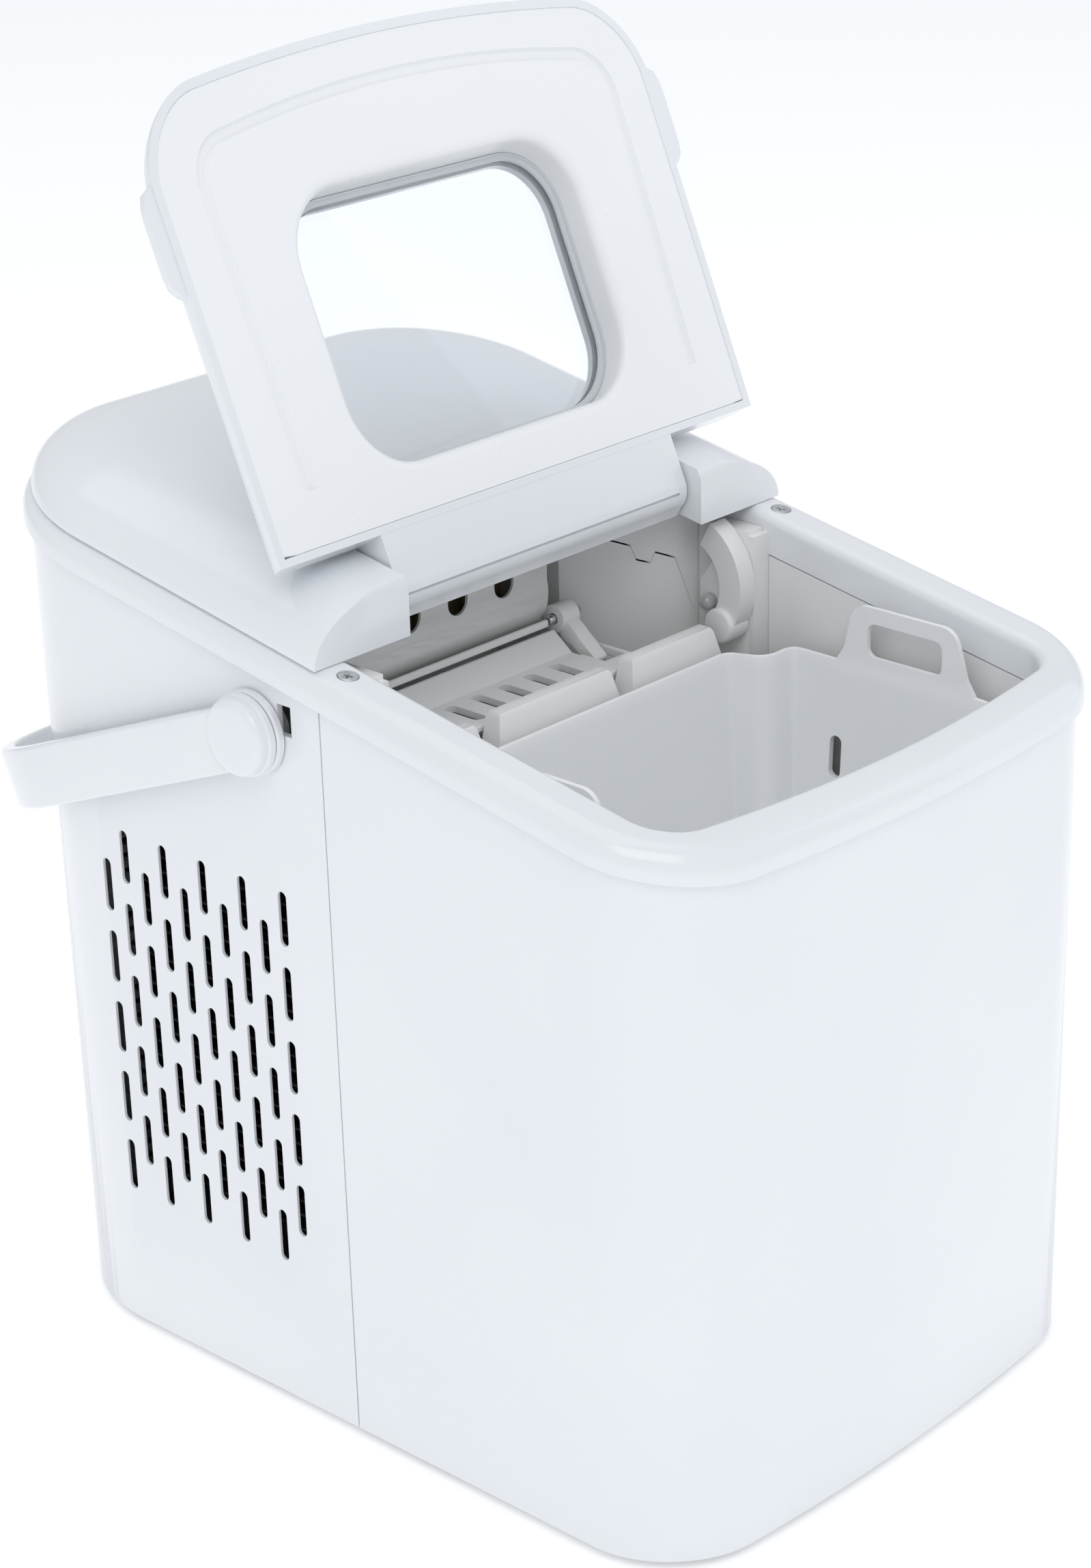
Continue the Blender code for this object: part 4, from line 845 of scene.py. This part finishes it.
def rounded(points, radius, steps=6):
    """Polygon with each corner turned into an arc; radius is one value, or one for each corner."""
    out = []
    count = len(points)
    for i, (x, y) in enumerate(points):
        r = radius[i] if isinstance(radius, (list, tuple)) else radius
        px, py = points[i - 1]
        nx, ny = points[(i + 1) % count]
        ux, uy = px - x, py - y
        vx, vy = nx - x, ny - y
        lu, lv = hypot(ux, uy), hypot(vx, vy)
        ux, uy, vx, vy = ux / lu, uy / lu, vx / lv, vy / lv
        half = acos(max(-1.0, min(1.0, ux * vx + uy * vy))) / 2
        if r <= 0.01 or abs(half - pi / 2) < 0.02:
            out.append((x, y))
            continue
        cut = min(r / abs(sin(half) / cos(half)), lu * 0.49, lv * 0.49)
        r = cut * sin(half) / cos(half)
        bx, by = ux + vx, uy + vy
        lb = hypot(bx, by)
        cx, cy = x + bx / lb * r / sin(half), y + by / lb * r / sin(half)
        a0 = Vector((x + ux * cut - cx, y + uy * cut - cy))
        a1 = Vector((x + vx * cut - cx, y + vy * cut - cy))
        turn = a0.angle_signed(a1)
        for k in range(steps + 1):
            v = a0.copy()
            v.rotate(Matrix.Rotation(-turn * k / steps, 2))
            out.append((cx + v.x, cy + v.y))
    return out


warm_white = moulded("warm_white_abs", (0.83, 0.83, 0.825), (0.87, 0.868, 0.86), (0.26, 0.38), 600.0, 0.06,
                     subsurface=0.05)
outer = tub_plan(2.2, -4.3)
inner = tub_plan(0.0, -6.5)
rings = [[(x * 0.97, y * 0.97 - 2.0, 27.0) for x, y in outer], [(x, y, 31.0) for x, y in outer],
         on_slope(outer, -14.3), on_slope(inner, -14.3), [(x, y, 33.5) for x, y in inner],
         [(x * 0.97, y * 0.97 - 2.0, 29.5) for x, y in inner]]
tub = solid("tub", skin(rings))
carve(tub, brick((-120, 120), (-6.6, 10), (214.0, 300)))
carve(tub, drum(90.0, 102.0, -84.0, 40.0, 5.3, 24))
soften(tub, 0.5, 2, 50.0)
finish_piece(tub, warm_white, "warm_satin", "cabinet", "water_tank")

# Ice chamber. A warm white tray behind the tank that the ice unit hangs over. It is open at the front and top,
# has a corner post on each side, and a flat bar crosses it in front of the tray.
TRAY_Y = 56.0
TRAY_Z = 247.0
ice_room = solid("ice_room", brick((-94.7, 94.7), (-4.0, 78.0), (196.0, 262.5)))
carve(ice_room, brick((-87.0, 87.0), (-20.0, 75.8), (198.5, 300.0)))
carve(ice_room, drum(-93.0, -86.0, TRAY_Y, TRAY_Z, 3.4, 24))
for side in (-1, 1):
    carve(ice_room, brick(sorted((side * 87.2, side * 97.0)), (-6.5, -3.9), (214.4, 261.0)), "UNION")
soften(ice_room, 0.8, 3, 45.0)
settle(ice_room)
bar = rounded([(36.0, 235.2), (37.6, 235.2), (37.6, 237.8), (36.0, 237.8)], 0.6, 4)
carve(ice_room, along_x(bar, -87.5, 29.5), "UNION")
finish_piece(ice_room, warm_white, "warm_satin", "cabinet", "ice_chamber")

# Ice guard. A low rail on the tank's rear wall with three wedge-shaped blocks, their ends sloped and their
# edges rounded, that keep the ice on the shovel's side until it is pushed over.
guard = solid("guard", brick((-86.7, 73.0), (-5.5, 6.5), (214.3, 219.5)))
for x0, x1 in ((-86.4, -44.0), (-38.0, 20.0), (26.0, 72.0)):
    rings = []
    for z, ease, y0, y1 in ((218.0, 0.0, -5.5, 3.2), (223.0, 0.2, -5.0, 3.2), (231.6, 2.2, -3.2, 3.1),
                            (233.0, 3.2, -2.4, 2.5), (233.5, 4.2, -1.2, 1.6)):
        left = x0 + ease
        right = x1 - ease
        if x0 < -80:
            left = x0
        rings.append([(x, y, z) for x, y in ((left, y0), (right, y0), (right, y1), (left, y1))])
    carve(guard, skin(rings), "UNION")
soften(guard, 0.8, 3, 35.0)
finish_piece(guard, warm_white, "warm_satin", "cabinet", "ice_guard")

# Ice basket. A lift-out bucket in slightly cloudy natural plastic with tapered walls, a rounded rim and, on each side,
# a raised loop with a finger window. One small upright slot is cut through its right wall.
cloudy = moulded("cloudy_polypropylene", (0.84, 0.85, 0.86), (0.89, 0.897, 0.905), (0.30, 0.44), 500.0, 0.08,
                 subsurface=0.12)


def basket_plan(grow):
    half = 89.0 + grow
    front = -119.5 - grow
    corners = [(-half, -8.6 + grow), (-half, front), (half, front), (half, -22.0 + grow), (75.0 + grow, -22.0 + grow),
               (69.0 + grow * 0.3, -8.6 + grow)]
    flat = rounded(corners, [max(9 + grow, 1), max(18 + grow, 1), max(18 + grow, 1), max(5 + grow, 0.8), 7 - grow * 0.5,
                             max(6 + grow, 0.8)], 8)
    out = []
    for i, (x, y) in enumerate(flat):
        out.append((x, y))
        nx, ny = flat[(i + 1) % len(flat)]
        if abs(y - front) < 0.01 and abs(ny - front) < 0.01:
            out += [(x + (nx - x) * k / 16, y) for k in range(1, 16)]
    return [(x, y - 7.6 * max(0.0, 1 - (x / half) ** 2) * max(0.0, min(1.0, (-60 - y) / 55.0))) for x, y in out]


rings = []
for grow, z in ((-10.0, 128.0), (-7.2, 129.2), (-6.0, 132.0), (-0.2, 221.0), (0.0, 224.8), (-0.35, 225.7),
                (-1.1, 226.0), (-1.85, 225.7), (-2.2, 224.8), (-2.4, 221.0), (-8.0, 136.0),
                (-9.4, 132.4), (-13.0, 130.2)):
    rings.append([(x, y, z) for x, y in basket_plan(grow)])
bucket = solid("bucket", skin(rings))
for side in (-1, 1):
    loop = rounded([(-40.0, 222.0), (-46.0, 231.0), (-50.0, 247.5), (-92.0, 247.5), (-97.0, 231.0), (-103.0, 222.0)],
                   [0.0, 8.0, 7.0, 7.0, 8.0, 0.0], 6)
    x0, x1 = sorted((side * 87.0, side * 88.7))
    carve(bucket, along_x(loop, x0, x1), "UNION")
    hole = rounded([(-56.0, 230.0), (-87.0, 230.0), (-87.0, 242.0), (-56.0, 242.0)], 3.2, 6)
    carve(bucket, along_x(hole, side * 80.0, side * 100.0))
slot = rounded([(-42.0, 184.0), (-42.0, 199.0), (-47.0, 199.0), (-47.0, 184.0)], 2.4, 6)
carve(bucket, along_x(slot, 78.0, 100.0))
block = rounded([(-21.0, -24.0), (18.0, -24.0), (18.0, -8.0), (-21.0, -8.0)], 4.0, 6)
grown = [[(x, y, z) for x, y in block] for z in (131.0, 152.0)]
carve(bucket, skin(grown + [[(x * 0.95, y + 1.0, 154.0) for x, y in block]]), "UNION")
soften(bucket, 0.35, 2, 50.0)
finish_piece(bucket, cloudy, "warm_satin", "basket", "ice_basket")

# Ice shovel. A warm white plate with round-ended slots and a sloping rear ramp, slid by the lever's foot.
profile = rounded([(4.2, 225.5), (27.6, 225.5), (36.0, 232.5), (36.0, 234.1), (34.6, 234.1), (26.6, 228.0),
                   (4.2, 228.0)],
                  [0.8, 1.2, 0.5, 0.5, 0.5, 1.2, 0.8], 4)
pusher = solid("pusher", along_x(profile, -84.0, 44.0))
hole = rounded([(-2.5, 8.0), (2.5, 8.0), (2.5, 24.5), (-2.5, 24.5)], 2.45, 6)
one = solid("slot_item", raw_skin([[(x * 0.001, y * 0.001, z * 0.001) for x, y in hole] for z in (-5.0, 5.0)]))
slots = repeat("shovel_slots", one, 8, 1, (0.0125, 0, 0), (0, 0, 0), (0, 0, 0), warm_white)
shift_mesh(slots, at(-69.5, 0.0, 225.5))
cut_with(pusher, slots)
carve(pusher, brick((32.0, 42.0), (12.5, 31.5), (220.0, 230.2)))
carve(pusher, brick((31.0, 43.0), (23.0, 40.0), (227.0, 239.5)))
soften(pusher, 0.15, 2, 60.0)
finish_piece(pusher, warm_white, "warm_satin", "shovel", "ice_shovel")

# Shovel rod and lever. A short polished steel pin in the drive housing; the moulded lever turns on it and its foot
# reaches down into the slot in the shovel.
ROD_Y = 37.0
ROD_Z = 237.0
DRAWN = (0.05, 1.0, 1.0)
polished = metal("polished_rod", (0.55, 0.55, 0.55), (0.72, 0.72, 0.71), (0.16, 0.3), (60.0, 2.0, 0.5, DRAWN),
                 (200.0, 2.0, 0.5, DRAWN))
rod_body = ((0.0, 1.1), (0.3, 1.45), (0.6, 1.6), (14.9, 1.6), (15.2, 1.45), (15.5, 1.1))
rod = solid("cross_rod", spun((30.5, ROD_Y, ROD_Z), (1, 0, 0), rod_body, 24))
finish_piece(rod, polished, "steel", "cabinet", "shovel_rod")
LEVER = radians(54.5)
reach = (-sin(LEVER), -cos(LEVER))
across = (cos(LEVER), -sin(LEVER))
line = [(0.0, 3.2), (9.0, 3.2), (10.0, 2.4), (21.5, 2.0), (21.5, -2.0), (12.0, -2.4), (8.0, -3.0), (0.0, -3.2)]
flat = rounded([(ROD_Y + reach[0] * u + across[0] * v, ROD_Z + reach[1] * u + across[1] * v) for u, v in line],
               [0.0, 0.8, 0.8, 1.2, 1.2, 0.8, 0.8, 0.0], 3)
arm = solid("push_arm", along_x(flat, 34.1, 39.9))
carve(arm, drum(33.1, 41.4, ROD_Y, ROD_Z, 4.9, 36), "UNION")
carve(arm, drum(25.0, 45.0, ROD_Y, ROD_Z, 1.9, 24))
soften(arm, 0.4, 3, 45.0)
finish_piece(arm, warm_white, "warm_satin", "lever", "shovel_lever")

# Water tray. A half-round trough in glossy pearl plastic that tips to drop the ice. Its front wall has four
# round-ended overflow openings, and stub axles turn it at both ends.
pearl = moulded("pearl_tray", (0.70, 0.70, 0.685), (0.80, 0.80, 0.785), (0.06, 0.16), 60.0, 0.45, coat=0.6)
profile = [(38.0, 264.4)] + arc(TRAY_Y, TRAY_Z, 18.15, 166, 370, 40)
profile += [(66.0, 250.5), (58.0, 250.7), (52.0, 251.3), (47.5, 252.6), (44.2, 254.6), (41.8, 257.4), (40.4, 260.8),
            (39.6, 264.4)]
trough = solid("trough", along_x(profile, -76.0, 32.0))
room = [(39.4, 290.0)] + arc(TRAY_Y, TRAY_Z, 16.8, 170, 380, 44) + [(90.0, 290.0)]
carve(trough, along_x(room, -74.0, 30.0))
carve(trough, drum(-90.5, -75.0, TRAY_Y, TRAY_Z, 3.0, 32), "UNION")
carve(trough, drum(31.0, 51.0, TRAY_Y, TRAY_Z, 3.0, 32), "UNION")
hole = rounded([(-4.6, -5.6), (4.6, -5.6), (4.6, 5.6), (-4.6, 5.6)], 4.55, 8)
one = solid("slot_item", raw_skin([[(x * 0.001, y * 0.001, z * 0.001) for x, z in hole] for y in (-8.0, 8.0)]))
ports = repeat("tray_ports", one, 4, 1, (0.022, 0, 0), (0, 0, 0), (0, 0, 0), pearl)
shift_mesh(ports, at(-55.0, 38.0, 256.0))
cut_with(trough, ports)
soften(trough, 0.3, 2, 50.0)
finish_piece(trough, pearl, "tray_satin", "tray", "water_tray")

# Evaporator. A plated copper header pipe with nine tapered fingers that dip into the tray, where the ice grows.
def pipe(path, radius, segments=16):
    """Round pipe along a path of points in millimetres."""
    points = [Vector(p) for p in path]
    rings = []
    side = None
    for i, p in enumerate(points):
        ahead = (points[min(i + 1, len(points) - 1)] - points[max(i - 1, 0)]).normalized()
        if side is None:
            side = ahead.orthogonal().normalized()
        side = (side - ahead * side.dot(ahead)).normalized()
        up = ahead.cross(side)
        rings.append([p + side * radius * cos(2 * pi * k / segments) + up * radius * sin(2 * pi * k / segments)
                      for k in range(segments)])
    return skin(rings)


def bent(points, radius, steps=8):
    out = [Vector(points[0])]
    for a, b, c in zip(points, points[1:], points[2:]):
        a, b, c = Vector(a), Vector(b), Vector(c)
        u = (a - b).normalized()
        v = (c - b).normalized()
        r = min(radius, (a - b).length * 0.45, (c - b).length * 0.45)
        for k in range(steps + 1):
            t = k / steps
            out.append(b + u * r * (1 - t) ** 2 + v * r * t * t)
    out.append(Vector(points[-1]))
    return out


brass = metal("plated_copper", (0.46, 0.36, 0.27), (0.68, 0.57, 0.46), (0.25, 0.5), (45.0, 4.0), (150.0, 3.0),
              (300.0, 2.0), 0.1, 0.0002)
header = solid("header_pipe", pipe(bent(((-70, 110, 270), (-70, 84, 270), (-70, 56, 270), (-70, 56, 261), (28, 56, 261),
                                         (28, 56, 270), (28, 84, 270), (28, 110, 270)), 7), 4.0, 24))
finish_piece(header, brass, "copper", "cabinet", "evaporator")
rings = []
for z, r in ((0.0, 2.0), (0.6, 2.8), (1.6, 3.4), (4.0, 4.0), (26.0, 4.3), (27.0, 4.0)):
    rings.append([(r * cos(2 * pi * i / 28) * 0.001, r * sin(2 * pi * i / 28) * 0.001, z * 0.001) for i in range(28)])
one = solid("finger_item", raw_skin(rings))
fingers = repeat("ice_fingers", one, 9, 1, (0.011, 0, 0), (0, 0, 0), (0, 0, 0), brass)
shift_mesh(fingers, at(-66.0, 56.0, 234.0))
fingers.data.shade_smooth()
fingers.data.set_sharp_from_angle(angle=radians(40))
finish_piece(fingers, brass, "copper", "cabinet")

# Drive housing. The warm white case of the tray's gear motor. Its curved front wall guides the ice, and a
# thin joint with a stepped, notched line shows where its cover plate meets the wall.
wall_line = [(46.0, 75.4), (46.0, 46.0)] + [(46.0 + 40.6 * t, 46.0 - 28.0 * (1 - (1 - t) ** 1.35)) for t in
             (0.1, 0.2, 0.3, 0.4, 0.5, 0.6, 0.7, 0.8, 0.9)] + [(86.6, 18.0), (86.6, 75.4)]
drive_case = solid("drive_case", upright(wall_line, 198.8, 266.0))
inside = [(48.0, 73.4), (48.0, 48.0), (59.4, 35.0), (76.8, 24.2), (84.6, 22.0), (84.6, 73.4)]
carve(drive_case, upright(inside, 190.0, 264.0))
carve(drive_case, drum(40.0, 49.5, TRAY_Y, TRAY_Z, 3.4, 28))
lap_edge = [(50.0, 262.6), (65.0, 256.2), (66.6, 251.0), (70.6, 249.4), (72.2, 253.0), (78.3, 250.3), (84.4, 231.0)]
lap_gap = [(x, z + 0.3) for x, z in lap_edge] + [(x, z - 0.3) for x, z in reversed(lap_edge)]
carve(drive_case, skin([[(x, y, z) for x, z in lap_gap] for y in (0.0, 60.0)]))
carve(drive_case, drum(40.0, 49.5, ROD_Y, ROD_Z, 1.9, 20))
soften(drive_case, 0.25, 2, 40.0)
finish_piece(drive_case, warm_white, "warm_satin", "cabinet", "drive_housing")

# Sensor bracket. An arched arm on the chamber's right wall with a round stop at its foot and a pointed rib that
# carries the clear grey lens of the full-basket sensor.
arch = arc(18.0, 243.0, 25.5, 222, 118, 28) + arc(18.0, 243.0, 16.0, 118, 222, 28)
sensor_arm = solid("sensor_arm", along_x(arch, 79.0, 86.7))
stop = ((0.0, 6.2), (8.2, 6.2), (8.9, 6.0), (9.3, 5.6), (9.5, 5.0))
carve(sensor_arm, spun((86.5, 1.5, 230.0), (-1, 0, 0), stop, 40), "UNION")
rib = rounded([(1.0, 232.0), (13.5, 229.0), (13.5, 243.0), (5.0, 255.0)], 2.0, 5)
carve(sensor_arm, along_x(rib, 82.5, 86.4), "UNION")
soften(sensor_arm, 0.6, 3, 40.0)
finish_piece(sensor_arm, warm_white, "warm_satin", "cabinet", "sensor_bracket")
eye = ((0.0, 2.8), (2.6, 2.8), (3.4, 2.6), (4.1, 2.1), (4.6, 1.4), (4.9, 0.6))
lens = solid("sensor_eye", spun((82.2, 8.5, 236.5), (-1, 0, 0), eye, 32))
smoked, tree, shader = nodes_of("smoked_lens")
tint = ramp(tree, noise(tree, 300.0).outputs["Fac"], (0.34, 0.35, 0.36), (0.46, 0.47, 0.48))
tree.links.new(tint.outputs["Color"], shader.inputs["Base Color"])
shader.inputs["Roughness"].default_value = 0.06
shader.inputs["Coat Weight"].default_value = 1.0
finish_piece(lens, smoked, "clear_plastic", "cabinet", "ice_sensor")

# Control panel. A dark gloss strip let into the cover, with two soft white buttons and a smoked light window.
ink = moulded("dark_gloss_panel", (0.020, 0.021, 0.024), (0.034, 0.035, 0.038), (0.12, 0.22), 900.0, 0.03, coat=0.5)
strip_panel = solid("strip_panel", pad(-44.0, 44.0, 38.0, 58.0, 17.6, 19.9, 5.0))
for x in (-26.0, 26.0):
    carve(strip_panel, pad(x - 9.3, x + 9.3, 41.7, 54.3, 10.0, 30.0, 4.3))
carve(strip_panel, pad(-11.3, 11.3, 43.7, 52.3, 10.0, 30.0, 2.3))
soften(strip_panel, 0.4, 2, 45.0)
finish_piece(strip_panel, ink, "dark_plastic", "cabinet", "control_panel")
for x, key, node, body in ((-26.0, "power_key_cap", "power_button", "power_key"),
                           (26.0, "size_key_cap", "size_button", "size_key")):
    cap = solid(key, pad(x - 9.0, x + 9.0, 42.0, 54.0, 18.3, 20.9, 4.0))
    soften(cap, 0.7, 3, 45.0)
    finish_piece(cap, satin_white, "warm_satin", body, node)
glow = solid("status_lens", pad(-11.0, 11.0, 44.0, 52.0, 17.6, 20.2, 2.0))
soften(glow, 0.4, 2, 45.0)
finish_piece(glow, smoked, "clear_plastic", "cabinet", "light_window")

# Drain plug. A soft white plug with a round head low on the right side, pulled out to empty the tank.
soft_white = moulded("soft_plug", (0.70, 0.71, 0.72), (0.76, 0.77, 0.78), (0.45, 0.6), 400.0, 0.15)
body = ((0.0, 3.6), (0.6, 4.2), (12.0, 4.9), (12.0, 8.0), (12.4, 8.4), (15.0, 8.4), (15.7, 8.1), (16.1, 7.5),
        (16.2, 6.0), (15.6, 5.2), (15.6, 2.0), (16.0, 1.4))
plug = solid("tank_plug", spun((96.0, -84.0, 40.0), (1, 0, 0), body, 40))
finish_piece(plug, soft_white, "warm_satin", "plug", "drain_plug")

# Carried-over pieces. The parts inside the machine room, the base and the feet keep their shapes and take their real
# finishes: painted steel can, copper lines, rubber feet, zinc-plated sheet. The condenser fins and the fan shroud take
# a near-black coat that is painted shade, so that the vent slots read dark.
zinc_sheet = metal("zinc_sheet", (0.42, 0.43, 0.44), (0.60, 0.61, 0.62), (0.32, 0.5), (25.0,), (75.0,),
                   (200.0, 2.0), 0.08)
bright_steel = metal("bright_steel", (0.50, 0.50, 0.51), (0.66, 0.66, 0.67), (0.2, 0.35), (60.0,), (180.0,),
                     (480.0, 2.0), 0.05)
copper_line = metal("copper_line", (0.55, 0.24, 0.13), (0.72, 0.38, 0.24), (0.25, 0.42), (30.0,), (90.0,),
                    (240.0, 2.0), 0.08)
black_can = moulded("black_can_paint", (0.012, 0.012, 0.013), (0.025, 0.025, 0.027), (0.28, 0.42), 500.0, 0.2)
# Painted shade: a near-black coat on the condenser fins and fan shroud stands in for the shade seen through the vent
# slots.
vent_painted_shade = moulded("vent_painted_shade_coat", (0.008, 0.008, 0.009), (0.018, 0.018, 0.02), (0.5, 0.7), 700.0, 0.2)
dark_abs = moulded("dark_abs", (0.02, 0.02, 0.022), (0.035, 0.035, 0.038), (0.4, 0.55), 600.0, 0.15)
foot_rubber = moulded("foot_rubber", (0.05, 0.05, 0.052), (0.08, 0.08, 0.083), (0.7, 0.85), 800.0, 0.3)
milk_hose = moulded("milk_silicone", (0.62, 0.64, 0.66), (0.70, 0.72, 0.74), (0.3, 0.45), 200.0, 0.1, subsurface=0.1)
board_green = moulded("board_green", (0.010, 0.09, 0.035), (0.02, 0.16, 0.07), (0.3, 0.45), 900.0, 0.2)
for mat, names in ((zinc_sheet, ("base_pan", "tray_motor", "fan_motor")),
                   (bright_steel, ("hinge_pin_left", "hinge_pin_right")),
                   (copper_line, ("discharge_line", "suction_line", "filter_drier", "capillary_tube")),
                   (black_can, ("compressor",)), (vent_painted_shade, ("condenser", "fan_shroud")),
                   (dark_abs, ("fan_blades", "water_pump", "cord_gland")),
                   (foot_rubber, ("foot_front_left", "foot_front_right", "foot_rear_left", "foot_rear_right")),
                   (milk_hose, ("water_hose",)), (board_green, ("control_board",))):
    for name in names:
        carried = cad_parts[name]
        for slot_at in range(len(carried.data.materials)):
            carried.material_slots[slot_at].material = mat
